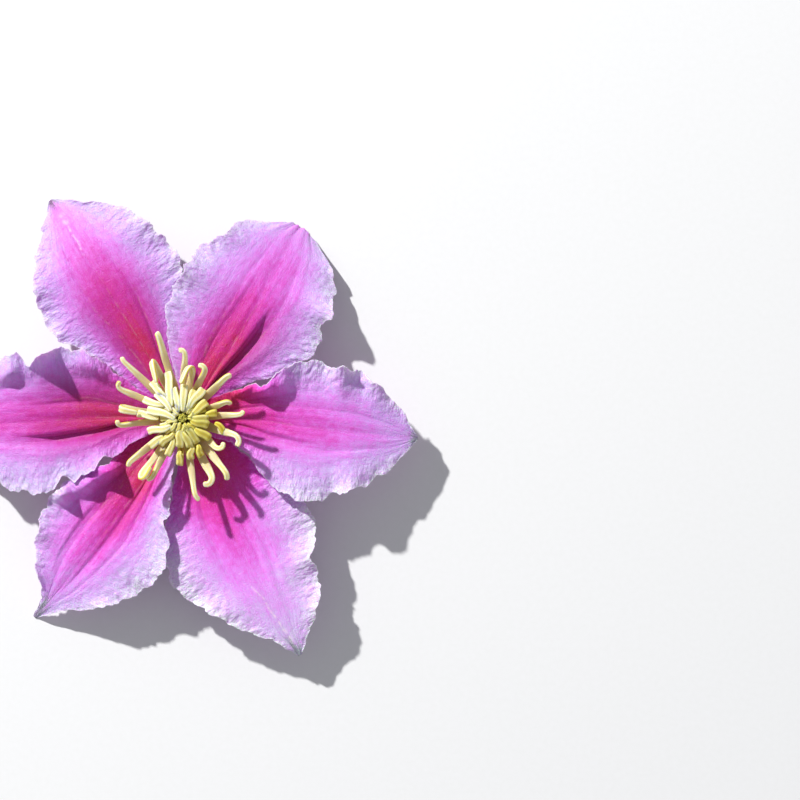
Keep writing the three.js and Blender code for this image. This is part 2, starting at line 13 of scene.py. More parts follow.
import bpy
import numpy as np
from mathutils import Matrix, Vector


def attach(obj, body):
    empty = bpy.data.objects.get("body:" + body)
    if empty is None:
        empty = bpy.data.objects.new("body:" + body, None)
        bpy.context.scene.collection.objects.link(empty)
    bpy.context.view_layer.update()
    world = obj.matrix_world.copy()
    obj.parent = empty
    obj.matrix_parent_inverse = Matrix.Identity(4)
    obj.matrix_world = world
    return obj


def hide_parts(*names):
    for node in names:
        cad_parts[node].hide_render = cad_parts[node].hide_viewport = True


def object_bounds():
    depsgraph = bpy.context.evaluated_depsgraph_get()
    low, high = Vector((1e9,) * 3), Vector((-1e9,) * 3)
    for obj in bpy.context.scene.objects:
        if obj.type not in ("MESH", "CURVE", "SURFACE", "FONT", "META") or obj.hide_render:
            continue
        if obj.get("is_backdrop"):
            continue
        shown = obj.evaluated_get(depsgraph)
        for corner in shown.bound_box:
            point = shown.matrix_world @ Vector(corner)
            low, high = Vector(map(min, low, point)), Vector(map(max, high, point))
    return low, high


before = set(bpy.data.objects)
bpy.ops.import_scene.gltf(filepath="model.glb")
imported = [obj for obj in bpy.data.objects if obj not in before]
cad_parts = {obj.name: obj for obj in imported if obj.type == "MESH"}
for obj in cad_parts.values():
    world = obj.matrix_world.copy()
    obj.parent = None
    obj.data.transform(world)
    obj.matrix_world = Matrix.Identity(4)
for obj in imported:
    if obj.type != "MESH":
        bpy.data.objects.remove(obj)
cad_box = [list(corner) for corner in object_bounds()]
MM = 0.001
BODY = "root"
print("CAD box in mm:", [[round(x / MM, 2) for x in corner] for corner in cad_box])

# %% [markdown]
# ## The camera
#
# The bloom was photographed square from the front, so the camera looks straight down on it. A picture point
# is 0.2115 mm wide on the petals. A long lens from 1.5 m away keeps the petal tips, which lie 8 mm lower than
# the middle, from shrinking. The bloom fills the left half of the picture, so the camera stands right of its
# axis.

# %% Camera
PICTURE_SIDE = 800
MM_PER_POINT = 0.2115
CAMERA_DISTANCE = 1500
PETAL_LEVEL = 8
SENSOR = 36
AXIS = np.array([0.916, 1.896, 0.0])
FROM_AXIS = (45.68, 3.81)

seen_side = PICTURE_SIDE * MM_PER_POINT
camera_data = bpy.data.cameras.new("camera")
camera_data.sensor_width = SENSOR
camera_data.lens = SENSOR * CAMERA_DISTANCE / seen_side
camera = bpy.data.objects.new("camera", camera_data)
camera.location = (
    (AXIS[0] + FROM_AXIS[0]) * MM,
    (AXIS[1] + FROM_AXIS[1]) * MM,
    (PETAL_LEVEL + CAMERA_DISTANCE) * MM,
)
bpy.context.scene.collection.objects.link(camera)
bpy.context.scene.camera = camera
print("lens", round(camera_data.lens, 1), "mm, sees", round(seen_side, 1), "mm")

# %% [markdown]
# ## Small tools
#
# A smooth step, smooth curves through values at stations, and a seeded noise are all that the shapes need.
# Colours are written as the sRGB hex values that one reads off a swatch, and one function makes them linear.

# %% Curves and noise
LEFT = 1
RIGHT = -1


def smoothstep(low, high, value):
    share = np.clip((np.asarray(value, float) - low) / (high - low), 0, 1)
    return share * share * (3 - 2 * share)


def window(value, opens, opened, closes, closed):
    """1 from opened to closes, falling smoothly to 0 outside."""
    return smoothstep(opens, opened, value) * (1 - smoothstep(closes, closed, value))


def cubic(u, start, start_slope, end, end_slope, span=1):
    """The cubic between two values with their slopes, at the share u of the span."""
    u2, u3 = u * u, u * u * u
    return (
        (2 * u3 - 3 * u2 + 1) * start + (u3 - 2 * u2 + u) * span * start_slope
        + (3 * u2 - 2 * u3) * end + (u3 - u2) * span * end_slope
    )


def through(stations, values, at):
    """A smooth curve through values at the stations that never swings past them."""
    xs, ys = np.asarray(stations, float), np.asarray(values, float)
    slopes = np.diff(ys) / np.diff(xs)
    product = slopes[:-1] * slopes[1:]
    total = np.where(product > 0, slopes[:-1] + slopes[1:], 1)
    inner = np.where(product > 0, 2 * product / total, 0)
    tangents = np.concatenate([slopes[:1], inner, slopes[-1:]])
    i = np.clip(np.searchsorted(xs, at, side="right") - 1, 0, len(xs) - 2)
    span = xs[i + 1] - xs[i]
    return cubic((at - xs[i]) / span, ys[i], tangents[i], ys[i + 1], tangents[i + 1], span)


NOISE_SIDE = 256
NOISE_TURNS = np.random.default_rng(11).uniform(0, 2 * math.pi, (NOISE_SIDE, NOISE_SIDE))
NOISE_GAIN = 1.7


def wander(x, y):
    """Seeded gradient noise, mostly from -1 to 1, one unit to a swell."""
    x, y = np.broadcast_arrays(np.asarray(x, float), np.asarray(y, float))
    ix, iy = np.floor(x).astype(int), np.floor(y).astype(int)
    fx, fy = x - ix, y - iy
    corner = {}
    for a in (0, 1):
        for b in (0, 1):
            turn = NOISE_TURNS[(ix + a) % NOISE_SIDE, (iy + b) % NOISE_SIDE]
            corner[a, b] = (fx - a) * np.cos(turn) + (fy - b) * np.sin(turn)
    ux, uy = (f * f * f * (f * (6 * f - 15) + 10) for f in (fx, fy))
    low = corner[0, 0] * (1 - uy) + corner[0, 1] * uy
    high = corner[1, 0] * (1 - uy) + corner[1, 1] * uy
    return NOISE_GAIN * (low * (1 - ux) + high * ux)


# %% Colours, nodes and meshes
def linear(code):
    """Linear RGBA from an sRGB hex value."""
    parts = [int(code[k:k + 2], 16) / 255 for k in (1, 3, 5)]
    return [p / 12.92 if p <= 0.04045 else ((p + 0.055) / 1.055) ** 2.4 for p in parts] + [1.0]


def new_material(name):
    """A material with an empty tree, and the function that adds a node to it."""
    material = bpy.data.materials.new(name)
    material.use_nodes = True
    tree = material.node_tree
    tree.nodes.clear()

    def add(kind, inputs=(), out=0, **settings):
        """Gives one output of the new node. An input is a value, a hex colour or another node's output."""
        node = tree.nodes.new("ShaderNode" + kind)
        for key, value in settings.items():
            setattr(node, key, value)
        for key, value in inputs.items() if isinstance(inputs, dict) else enumerate(inputs):
            if isinstance(value, bpy.types.NodeSocket):
                tree.links.new(value, node.inputs[key])
            else:
                node.inputs[key].default_value = linear(value) if isinstance(value, str) else value
        return node.outputs[out] if node.outputs else None

    return material, add


def set_ramp(output, stops):
    """Gives a colour ramp its stops, each a place and a hex value."""
    elements = output.node.color_ramp.elements
    while len(elements) > 1:
        elements.remove(elements[-1])
    elements[0].position = stops[0][0]
    elements[0].color = linear(stops[0][1])
    for place, code in stops[1:]:
        elements.new(place).color = linear(code)


def new_piece(name, points, faces, attributes, material, node):
    """A smooth mesh from points in mm round the bloom's axis, which stands for a CAD node."""
    mesh = bpy.data.meshes.new(name)
    mesh.from_pydata(((points + AXIS) * MM).tolist(), [], faces)
    mesh.shade_smooth()
    for key, values in attributes.items():
        values = np.asarray(values, np.float32)
        kind, field = ("FLOAT_VECTOR", "vector") if values.ndim == 2 else ("FLOAT", "value")
        mesh.attributes.new(key, kind, "POINT").data.foreach_set(field, values.ravel())
    mesh.materials.append(material)
    piece = bpy.data.objects.new(name, mesh)
    bpy.context.scene.collection.objects.link(piece)
    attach(piece, BODY)
    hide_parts(node)
    size = np.ptp(points, axis=0)
    print(name, len(points), "points,", len(faces), "faces, size in mm", np.round(size, 1).tolist())
    return piece


# %% [markdown]
# ## The petals: their main shape
#
# A clematis petal is one soft blade, about a third of a millimetre thick. It stands on a narrow claw, widens,
# and bends down to its tip. It could be sculpted or cloth-simulated, but its outline and waves are known to a
# fraction of a millimetre, so a formula suits it best: a sheet with t from the claw to the tip and v from the
# right margin (-1) over the midrib (0) to the left one (1). The half-widths, the heights and the large waves
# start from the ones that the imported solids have.

# %% Petal measures
CLAW_RADIUS = 2.8
CLAW_HEIGHT = 8.0
CLAW_STEP = 0.95
MARGIN_RISE = 0.8
REST_HEIGHT = 0.3
RIB_SPREAD = 0.3
SCALLOP_PITCH = 4.6
STATIONS = [0, 0.12, 0.25, 0.4, 0.55, 0.7, 0.82, 0.92, 1]
FALL = [1, 1.01, 1.05, 1.1, 1.1, 0.96, 0.7, 0.38, -0.03]
FALL_OVER_STALK = [1, 1.01, 1.05, 1.11, 1.15, 1.14, 1.07, 0.97, 0.84]
FALL_RIGHT = [1, 1.01, 1.05, 1.1, 1.13, 1.1, 1.0, 0.88, 0.74]
LIP_RUN, LIP_FALL = 0.24, 0.3
print("a petal's foot is", CLAW_RADIUS, "mm from the axis, and the lowest ones'", CLAW_HEIGHT, "mm high")

# %% The six petals
# left and right are the half-widths at the stations, bow is how far the midrib lies to the left there, and
# blush is how strong the bar's colour is. Pairs are for the left and the right margin. lift is how far it
# stands over the midrib on the petal's inner part. A wave is its place as a share of the length, its own
# length as a share, and its height. A ruffle is a wave that stands up steeply at the margin alone, and an
# inlet draws the margin in. A lip has one more number, how far out its crest is, and rolls back outwards over
# it. spread is how far the bar's colour reaches, flush how strong the colour is at the margin near the claw,
# and dusk is painted shade, how far the bar's flanks are darkened. A fold is a step down along the petal: v
# at its crest where it starts, v where it ends, the widths of its steep and of its gentle side, start, end,
# depth, and the side that its crest is on. blunt lengthens the middle of the tip by that many mm, tone is
# painted light, how far the whole petal's colour is made brighter or darker for how the light falls on it,
# lines is how clear the pale vein lines on its bar are, and streak is the pale midrib line: start, end, v and
# strength.
# PLAIN is what most petals have.
PLAIN = dict(inlets=([], []), ruffles=([], []), lips=([], []), fall=FALL, blunt=0, streak=None)
PETALS = [
    dict(
        name="upper_left", heading=121.7, length=54.4, pair=0, lift=(-0.9, -0.9),
        left=[2.6, 4.2, 6.8, 10.2, 14.9, 13.9, 9.9, 4.6, 0.4],
        right=[2.6, 3.4, 6.4, 12.4, 16.5, 15.2, 12.3, 6.3, 0.4],
        bow=[0, -0.2, -0.5, -0.6, -0.5, -0.4, -0.3, -0.2, 0],
        waves=(
            [(0.6, 0.05, -0.9), (0.72, 0.05, 1.2), (0.84, 0.05, -0.8)],
            [(0.62, 0.05, -0.9), (0.73, 0.05, 1.0), (0.85, 0.05, -0.6), (0.94, 0.04, 1.2)],
        ),
        folds=[(-0.3, -0.22, 0.06, 0.14, 0.15, 0.6, 0.3, LEFT), (0.3, 0.2, 0.06, 0.14, 0.15, 0.6, 0.3, LEFT)],
        blush=[1, 1, 1, 0.93, 0.78, 0.6, 0.48, 0.4, 0.38], spread=(1.05, 0.95), painted_brightness=0.89, flush=(0.25, 0.1),
        painted_flank_shade=(0.3, 0.25), lines=0.35, streak=(0.72, 0.95, 0.0, 0.9),
    ),
    dict(
        name="upper_right", heading=58.6, length=46.2, pair=1, lift=(0.9, -0.9), blunt=1.2,
        left=[2.6, 5.6, 11.4, 16.2, 17.1, 16.8, 14.0, 10.8, 4.2],
        right=[2.6, 3.4, 5.8, 11.8, 15.3, 15.6, 13.8, 11.2, 4.6],
        bow=[0, -0.3, -0.6, -0.8, -0.8, -0.6, -0.3, 0, 0],
        waves=(
            [(0.58, 0.06, 1.2), (0.7, 0.05, -0.9), (0.82, 0.05, 1.1), (0.95, 0.05, -0.8)],
            [(0.66, 0.05, -1.2), (0.76, 0.045, 1.9), (0.86, 0.05, -1.2), (0.96, 0.04, 0.9)],
        ),
        inlets=([(0.8, 0.05, 0.8)], [(0.69, 0.035, 1.7)]),
        folds=[(-0.12, -0.17, 0.06, 0.34, 0.12, 0.66, 1.9, LEFT), (0.3, 0.2, 0.05, 0.2, 0.2, 0.8, 0.4, LEFT)],
        blush=[1, 1, 1, 0.9, 0.75, 0.58, 0.5, 0.42, 0.36], spread=(0.97, 1.0), painted_brightness=0.95, flush=(0.1, 0.3),
        painted_flank_shade=(0.15, 0.5), lines=0.4,
    ),
    dict(
        name="right", heading=-4.9, length=49.5, pair=2, lift=(1.1, 0.9), fall=FALL_RIGHT,
        left=[2.6, 4.0, 6.6, 11.8, 14.2, 13.4, 10.3, 5.6, 0.4],
        right=[2.6, 4.2, 6.4, 13.4, 15.7, 13.0, 9.9, 5.8, 0.4],
        bow=[0, 0.9, 1.2, 0.8, 0.2, 0, 0, 0, 0],
        waves=(
            [(0.36, 0.05, 0.8), (0.46, 0.06, 1.2), (0.58, 0.035, -0.6), (0.66, 0.035, 1.6),
             (0.74, 0.03, -0.9), (0.81, 0.035, 1.3), (0.9, 0.035, -0.8)],
            [(0.5, 0.07, 0.6), (0.64, 0.04, -0.9), (0.73, 0.05, 0.9), (0.86, 0.05, -0.7)],
        ),
        inlets=([(0.345, 0.045, 2.4), (0.62, 0.025, 0.6)], [(0.66, 0.025, 0.8)]),
        ruffles=([(0.66, 0.03, 1.6)], []),
        lips=([(0.25, 0.04, 2.0, 0.89), (0.325, 0.05, 4.0, 0.76), (0.405, 0.045, 2.6, 0.68)], []),
        folds=[(-0.22, -0.18, 0.05, 0.18, 0.12, 0.6, 0.6, LEFT)],
        blush=[1, 1, 0.86, 0.68, 0.58, 0.48, 0.36, 0.26, 0.2], spread=(1.05, 0.85), painted_brightness=1.01,
        flush=(0.9, 0.45), painted_flank_shade=(0, 0.1), lines=0.2,
    ),
    dict(
        name="lower_right", heading=-63.9, length=55.8, pair=0, lift=(-0.9, -0.9), fall=FALL_OVER_STALK,
        left=[2.6, 6.2, 9.6, 14.4, 16.8, 13.0, 10.5, 5.3, 0.4],
        right=[2.6, 4.2, 9.0, 14.4, 16.3, 12.2, 7.8, 2.9, 0.4],
        bow=[0, -0.4, -0.9, -1.3, -1.4, -1.2, -0.8, -0.4, 0],
        waves=(
            [(0.58, 0.05, -0.8), (0.67, 0.045, 1.6), (0.76, 0.04, -1.1), (0.86, 0.05, 0.9)],
            [(0.62, 0.05, -0.8), (0.72, 0.05, 0.9), (0.82, 0.05, -0.7)],
        ),
        inlets=([(0.68, 0.03, 1.0)], []),
        folds=[
            (0.25, 0.15, 0.06, 0.14, 0.25, 0.8, 0.3, LEFT), (-0.3, -0.2, 0.06, 0.14, 0.25, 0.8, 0.3, LEFT),
        ],
        blush=[1, 1, 0.92, 0.7, 0.52, 0.36, 0.22, 0.14, 0.12], spread=(0.98, 0.95), painted_brightness=1.12,
        flush=(0.7, 0.5), painted_flank_shade=(0.1, 0.1), lines=0.1, streak=(0.66, 0.99, -0.12, 1.0),
    ),
    dict(
        name="lower_left", heading=-127.1, length=53.0, pair=1, lift=(0.9, -0.9),
        left=[2.6, 3.0, 5.8, 10.8, 14.6, 12.6, 8.5, 3.3, 0.4],
        right=[2.6, 4.4, 8.2, 11.2, 13.8, 12.2, 7.4, 1.6, 0.4],
        bow=[0, 0.4, 1.0, 1.4, 1.4, 1.2, 0.9, 0.4, 0],
        waves=(
            [(0.32, 0.04, 1.8), (0.4, 0.04, 0.5), (0.52, 0.06, 1.0), (0.66, 0.05, -0.8), (0.8, 0.05, 0.8)],
            [(0.6, 0.045, 0.5), (0.69, 0.04, 1.4), (0.77, 0.035, -0.9), (0.85, 0.04, 1.2)],
        ),
        inlets=([(0.375, 0.025, 1.6)], [(0.32, 0.035, 2.0), (0.72, 0.03, 0.7)]),
        ruffles=([(0.32, 0.035, -0.8)], []),
        lips=([], [(0.345, 0.04, 6.3, 0.74), (0.44, 0.055, 4.2, 0.78), (0.535, 0.03, 5.3, 0.9)]),
        folds=[
            (0.04, 0.06, 0.06, 0.18, 0.2, 0.9, 0.5, RIGHT), (-0.4, -0.45, 0.06, 0.18, 0.4, 0.85, 0.4, RIGHT),
        ],
        blush=[1, 1, 1, 0.88, 0.66, 0.5, 0.36, 0.26, 0.22], spread=(0.8, 1.4), painted_brightness=1.03, flush=(0.15, 0.7),
        painted_flank_shade=(0, 0.2), lines=0.3,
    ),
    dict(
        name="left", heading=-178.1, length=51.2, pair=2, lift=(1.0, 1.1),
        left=[2.6, 3.4, 6.8, 13.4, 15.4, 14.4, 10.9, 5.7, 0.4],
        right=[2.6, 4.2, 8.4, 14.2, 15.0, 14.5, 10.9, 6.3, 0.4],
        bow=[0, -0.4, -0.7, -0.7, -0.4, -0.2, 0, 0, 0],
        waves=(
            [(0.36, 0.03, 1.6), (0.41, 0.07, 1.3), (0.56, 0.06, 0.3), (0.7, 0.05, -0.9), (0.83, 0.05, 0.9)],
            [(0.38, 0.05, 0.8), (0.5, 0.06, 1.4), (0.61, 0.03, -0.4), (0.67, 0.03, 1.0), (0.75, 0.035, -0.5),
             (0.85, 0.04, 1.1)],
        ),
        inlets=(
            [(0.34, 0.03, 2.4), (0.42, 0.05, 1.8), (0.505, 0.035, 2.8)],
            [(0.58, 0.03, 1.5), (0.63, 0.03, 2.8)],
        ),
        ruffles=([], [(0.575, 0.045, 8.2)]),
        lips=([], [(0.37, 0.08, 2.6, 0.82), (0.715, 0.05, 3.8, 0.75)]),
        folds=[
            (0.16, 0.2, 0.05, 0.26, 0.12, 0.72, 1.5, RIGHT), (-0.3, -0.25, 0.05, 0.14, 0.2, 0.7, 0.4, RIGHT),
        ],
        blush=[1, 1, 1, 0.93, 0.78, 0.62, 0.52, 0.42, 0.36], spread=(0.95, 1.1), painted_brightness=0.86,
        flush=(0.35, 0.45), painted_flank_shade=(0.2, 0.3), lines=0.25,
    ),
]
PETALS = [PLAIN | petal for petal in PETALS]
print(len(PETALS), "petals, lengths in mm", [p["length"] for p in PETALS])

# %% [markdown]
# ## The petals: ruffles, wrinkles and ribs
#
# What makes the petal look alive is finer than the solids can hold: three grooves on the bar with raised ribs
# between them, thin veins that fan out, short wrinkles that run in from the margin, and a frilled edge whose
# scallops are about 1 to 5 mm long. Displacement nodes would lose all this in an exported mesh, so it goes
# into the points themselves.

# %% Petal surface
# depths, reliefs, pitches, widths and sizes in mm
GROOVE_DEPTH = 0.11
GROOVE_SHARPNESS = 5
LINE_WIDTH = 0.16
RIB_SWELL = 0.05
VEIN_RELIEF = 0.06
VEINS = 16
CRIMP_RELIEF = 0.19
CRIMP_PITCH = 1.3
CRIMP_LENGTH = 3.0
PUCKER_RELIEF = 0.08
PUCKER_SIZE = 1.25
RUFFLE_RELIEF = 0.42
SCALLOP_DEPTH = 0.22
FRAYS = [(0.36, 1.5, 0), (0.26, 0.7, 3)]  # each has its depth, its size and what sets its noise apart
TATTER = 0.5  # of a blunt tip's edge
LINE_LENGTH = 1.7


def of_side(pair, v):
    """The left or the right one of a pair, as each point needs."""
    return np.where(v < 0, pair[1], pair[0])


def swellings(pair, v, t):
    """What the waves, ruffles, lips or inlets of each point's own margin come to there."""
    total = np.zeros_like(t)
    reach = np.abs(v)
    for own, rows in zip((v >= 0, v < 0), pair):
        for place, span, amount, *crests in rows:
            swelling = np.where(own, amount * np.exp(-(((t - place) / span) ** 2)), 0)
            for crest in crests:
                hanging = LIP_FALL * smoothstep(crest, 1, reach)
                swelling = swelling * (smoothstep(crest - LIP_RUN, crest, reach) - hanging)
            total += swelling
    return total


def trough(fold, v, t):
    """How deep one fold is at each point, from 0 on its crest to its depth just past it."""
    v_start, v_end, steep, gentle, start, end, depth, crest_side = fold
    crest = v_start + (v_end - v_start) * (t - start) / (end - start)
    past = (crest - v) * crest_side
    across = window(past, -steep / 2, steep / 2, steep / 2, steep / 2 + gentle)
    return depth * window(t, start, start + 0.15, end - 0.2, end) * across


# %% The surface of one petal
def petal_surface(petal, number, t, v):
    """The middle surface in mm from the bloom's axis, and the measures that the material reads."""
    side = of_side((LEFT, RIGHT), v)
    reach = np.abs(v)
    half_width = of_side([through(STATIONS, petal[key], t) for key in ("left", "right")], v)
    along = t * petal["length"]
    seed = 17.3 * number + 5.1 * side

    # the outline: frill, inlets and tip
    frilled = smoothstep(0.62, 1, reach) * smoothstep(0.08, 0.3, t) * smoothstep(1, 0.93, t)
    frill = SCALLOP_DEPTH * np.sin(2 * math.pi * along / SCALLOP_PITCH + 2 * side)
    for depth, size, apart in FRAYS:
        frill += depth * wander(along / size, seed + apart)
    drawn_in = swellings(petal["inlets"], v, t) * reach ** 3
    across = through(STATIONS, petal["bow"], t) + v * half_width + side * (frilled * frill - drawn_in)
    if petal["blunt"]:
        tip = petal["blunt"] * (1 - v ** 2) + TATTER * wander(v * 5, seed)
        along = along + tip * smoothstep(0.88, 1, t)

    # the large forms: how the blade falls, lifts its margins, waves and rolls
    claw = CLAW_HEIGHT + petal["pair"] * CLAW_STEP
    height = REST_HEIGHT + (claw - REST_HEIGHT) * through(STATIONS, petal["fall"], t)
    height += of_side(petal["lift"], v) * window(t, 0.03, 0.15, 0.6, 0.85) * reach ** 1.5
    height += MARGIN_RISE * window(t, 0.5, 0.8, 0.85, 1) * reach ** 2
    height += swellings(petal["waves"], v, t) * reach ** 3
    ruffled = swellings(petal["ruffles"], v, t) * reach ** 5 + swellings(petal["lips"], v, t)
    height += ruffled

    # the bar: grooves and ribs with pale lines in them, veins and folds
    on_bar = 1 - smoothstep(RIB_SPREAD, 2.2 * RIB_SPREAD, reach)
    wavering = v + 0.012 * wander(t * 14, seed)
    off_groove = (wavering / RIB_SPREAD - np.round(wavering / RIB_SPREAD)) * RIB_SPREAD * half_width
    line = np.exp(-((off_groove / LINE_WIDTH) ** 2))
    line *= smoothstep(-0.35, 0.35, wander(along / LINE_LENGTH, wavering * 9 + seed))
    ribs = np.cos(2 * math.pi * wavering / RIB_SPREAD)
    grooves = ((1 + ribs) / 2) ** GROOVE_SHARPNESS
    height -= (GROOVE_DEPTH * grooves + RIB_SWELL * ribs) * on_bar * window(t, 0.05, 0.2, 0.75, 1)
    fan = VEINS * (v + 0.03 * wander(t * 6, v * 3 + seed))
    veins = wander(fan, along / 14 + seed) + 0.5 * wander(2.3 * fan, along / 9 + seed)
    height += VEIN_RELIEF * veins * smoothstep(0.06, 0.2, t) * (1 - 0.75 * smoothstep(0.3, 0.7, reach))
    for fold in petal["folds"]:
        height -= trough(fold, v, t)

    # crimps run in from the margin, leaning towards the claw, and puckers lie all over
    off_mid = reach * half_width
    drift = 0.9 * wander(along / 4, off_mid / 4 + seed)
    crossing = (along - 0.4 * off_mid) / CRIMP_PITCH + drift
    crimp = wander(crossing, off_mid / CRIMP_LENGTH + seed)
    crimp += 0.4 * wander(2.1 * crossing + 9, off_mid / (0.6 * CRIMP_LENGTH) + seed)
    outer = smoothstep(0.45, 0.9, reach) * smoothstep(0.12, 0.3, t)
    height += CRIMP_RELIEF * crimp * outer * (1 - 0.5 * smoothstep(0.85, 1, t))
    lean = across + 0.3 * along
    pucker = wander(lean / PUCKER_SIZE + seed, along / PUCKER_SIZE)
    pucker += 0.5 * wander(2.2 * lean / PUCKER_SIZE, 2.2 * along / PUCKER_SIZE + seed)
    height += PUCKER_RELIEF * pucker * (0.3 + 0.7 * smoothstep(0.25, 0.7, reach)) * smoothstep(0.08, 0.2, t)
    ruffle = wander(along / 3.1, seed + 7) + 0.6 * wander(along / 1.4, seed + 21)
    height += RUFFLE_RELIEF * ruffle * smoothstep(0.7, 1, reach) * smoothstep(0.12, 0.3, t)
    height = np.maximum(height, REST_HEIGHT - 0.1)

    heading = math.radians(petal["heading"])
    place = np.stack([
        along * math.cos(heading) - across * math.sin(heading),
        along * math.sin(heading) + across * math.cos(heading),
        height,
    ], axis=-1)
    # the pale rim: partly the thin margin's own colour and partly a painted highlight on lit edges, stronger
    # where a ruffle, lip or inlet curls the margin
    edge = smoothstep(0.955, 0.995, reach) * smoothstep(0.1, 0.25, t)
    measures = {
        "sheet": np.stack([along, across, np.full_like(t, 40.0 * number)], axis=-1),
        "reach": reach,
        "edge": edge * (0.45 + 0.55 * smoothstep(0.5, 2.5, np.abs(ruffled) + np.abs(drawn_in))),
        "line": petal["lines"] * line * on_bar * window(t, 0.1, 0.2, 0.4, 0.75),
    }
    return place, measures


# %% [markdown]
# ## The petals: from sheet to blade
#
# Each blade has two faces, half its thickness to either side of the middle surface, and a rim that joins
# them. It is thickest on the bar and thins out to the margin, which is why a real margin looks so light. A UV
# map lays the upper face on the left half of the square and the underside on the right half.

# %% Petal blades
ROWS = 200
COLUMNS = 131
THICK_BAR = 0.46
THICK_MARGIN = 0.2
COLUMN_EASE = 0.85
STREAK_WIDTH = 0.34


def colour_depth(petal, t, v):
    """From 0 at the lilac margin to 1 on the crimson of the bar's foot."""
    middle = through(STATIONS, petal["blush"], t)
    margin = 0.12 - 0.08 * smoothstep(0.75, 1, np.abs(v))
    margin += of_side(petal["flush"], v) * (1 - smoothstep(0.18, 0.5, t))
    spread = through([0, 0.2, 0.5, 1], [0.72, 0.62, 0.56, 0.6], t) * of_side(petal["spread"], v)
    return margin + (middle - margin) * np.exp(-((np.abs(v) / spread) ** 2.2))


def paint_flank_shade(petal, t, v):
    """Painted shade: how far the flanks of the bar are darkened, most on the petal's inner part."""
    flanks = np.exp(-(((np.abs(v) - 0.44) / 0.22) ** 2))
    return of_side(petal["painted_flank_shade"], v) * flanks * (1 - smoothstep(0.4, 0.75, t))


def pale_streak(petal, t, v):
    """How strong the broken pale line along the midrib is."""
    if not petal["streak"]:
        return np.zeros_like(t)
    start, end, line, strength = petal["streak"]
    drift = 0.5 * wander(t * 14, 3.0)
    off_line = (v - line * (1 - t) * 3) * through(STATIONS, petal["left"], t) - drift
    broken = smoothstep(-0.5, 0.3, wander(t * 60, 8.0)) * (0.6 + 0.4 * wander(t * 200, v * 30))
    width = STREAK_WIDTH * (0.7 + 0.3 * wander(t * 40, 5.0))
    width *= 0.8 + 1.4 * smoothstep(start + 0.1, end, t)
    shown = strength * window(t, start, start + 0.06, end - 0.05, end)
    return shown * broken * np.exp(-((off_line / width) ** 2))


# %% The blade of one petal
def petal_blade(petal, number):
    """Points, faces, attributes and UVs of one blade."""
    bend = COLUMN_EASE * math.pi / 2
    v_line = np.sin(bend * np.linspace(-1, 1, COLUMNS)) / math.sin(bend)
    t_line = np.linspace(CLAW_RADIUS / petal["length"], 1, ROWS)
    t, v = np.meshgrid(t_line, v_line, indexing="ij")
    place, measures = petal_surface(petal, number, t, v)
    measures["depth"] = colour_depth(petal, t, v)
    # painted shade on the bar's flanks
    measures["painted_flank_shade"] = paint_flank_shade(petal, t, v)
    # painted light: each petal's colour is made brighter or darker for how the light falls on it
    measures["painted_brightness"] = np.full_like(t, petal["painted_brightness"])
    measures["streak"] = pale_streak(petal, t, v)

    normal = np.cross(np.gradient(place, axis=0), np.gradient(place, axis=1))
    normal /= np.linalg.norm(normal, axis=-1, keepdims=True)
    thick = THICK_MARGIN + (THICK_BAR - THICK_MARGIN) * (1 - smoothstep(0.2, 1, np.abs(v)))
    offset = thick[..., None] / 2 * normal
    points = np.concatenate([(place + offset).reshape(-1, 3), (place - offset).reshape(-1, 3)])
    points[:, 2] = np.maximum(points[:, 2], 0.0)

    count = ROWS * COLUMNS
    index = np.arange(count).reshape(ROWS, COLUMNS)
    a, b = index[:-1, :-1].ravel(), index[1:, :-1].ravel()
    c, d = index[1:, 1:].ravel(), index[:-1, 1:].ravel()
    top = np.stack([a, b, c, d], axis=1)
    under = np.stack([a, d, c, b], axis=1) + count
    rim = np.concatenate([index[:-1, 0], index[-1, :-1], index[:0:-1, -1], index[0, :0:-1]])
    after = np.roll(rim, -1)
    edge = np.stack([rim, rim + count, after + count, after], axis=1)
    faces = np.concatenate([top, under, edge])

    across = (v + 1) / 2
    top_uv = np.stack([0.01 + 0.48 * across, 0.01 + 0.98 * t], axis=-1).reshape(-1, 2)
    uvs = np.concatenate([top_uv, top_uv + [0.5, 0]])
    loop_uvs = uvs[faces.ravel()]
    attributes = {
        key: np.concatenate([value.reshape(count, -1)] * 2).squeeze() for key, value in measures.items()
    }
    attributes["under"] = np.repeat([0.0, 1.0], count)
    return points, faces, attributes, loop_uvs


# %% [markdown]
# ## The petal's finish
#
# The real thing is living tissue: a skin of domed cells, filled with violet-red sap, over a pale, watery
# core. That gives a soft satin, colour that runs in streaks along the veins, and a glow where light comes
# through. The colour follows one number, the depth of the bar's colour, through a ramp from lilac to crimson,
# and noise that is stretched along the veins or across the margin breaks it up. Subsurface scattering gives
# the glow. The cells are drawn 0.3 mm wide, several times their real size, so they show. Light and shade are
# also
# painted into the colour: the cells' tiny glints are painted highlights, the pale rim is partly the thin
# margin's own colour and partly a painted highlight, the bar's flanks carry painted shade, and each petal is
# made brighter or darker as painted light for how the light falls on it.

# %% Petal tissue
PETAL_RAMP = [
    (0.0, "#E2D8F3"), (0.12, "#D5BFF0"), (0.26, "#DAA6EE"), (0.42, "#E286E6"), (0.56, "#DE5ECE"),
    (0.7, "#D63AAE"), (0.84, "#D02A92"), (1.0, "#CA2664"),
]
VEIN_LINE = "#CFA396"
# the colour of the painted shade on the bar's flanks
PAINTED_FLANK_SHADE = "#7E3A74"
# the colour of the painted glints, pale specks that stand in for highlights on the cells
PAINTED_GLINT = "#F8BDF2"
# the colour of the pale rim, partly the margin's own and partly a painted highlight
PALE_AND_LIT_EDGE = "#F4EAFB"
PETAL_IOR = 1.42
GLOW_DEPTH = 0.6 * MM
STREAK = "#FFE6F8"
UNDERSIDE, UNDER_RIB = "#D3B4E4", "#C9A9B4"
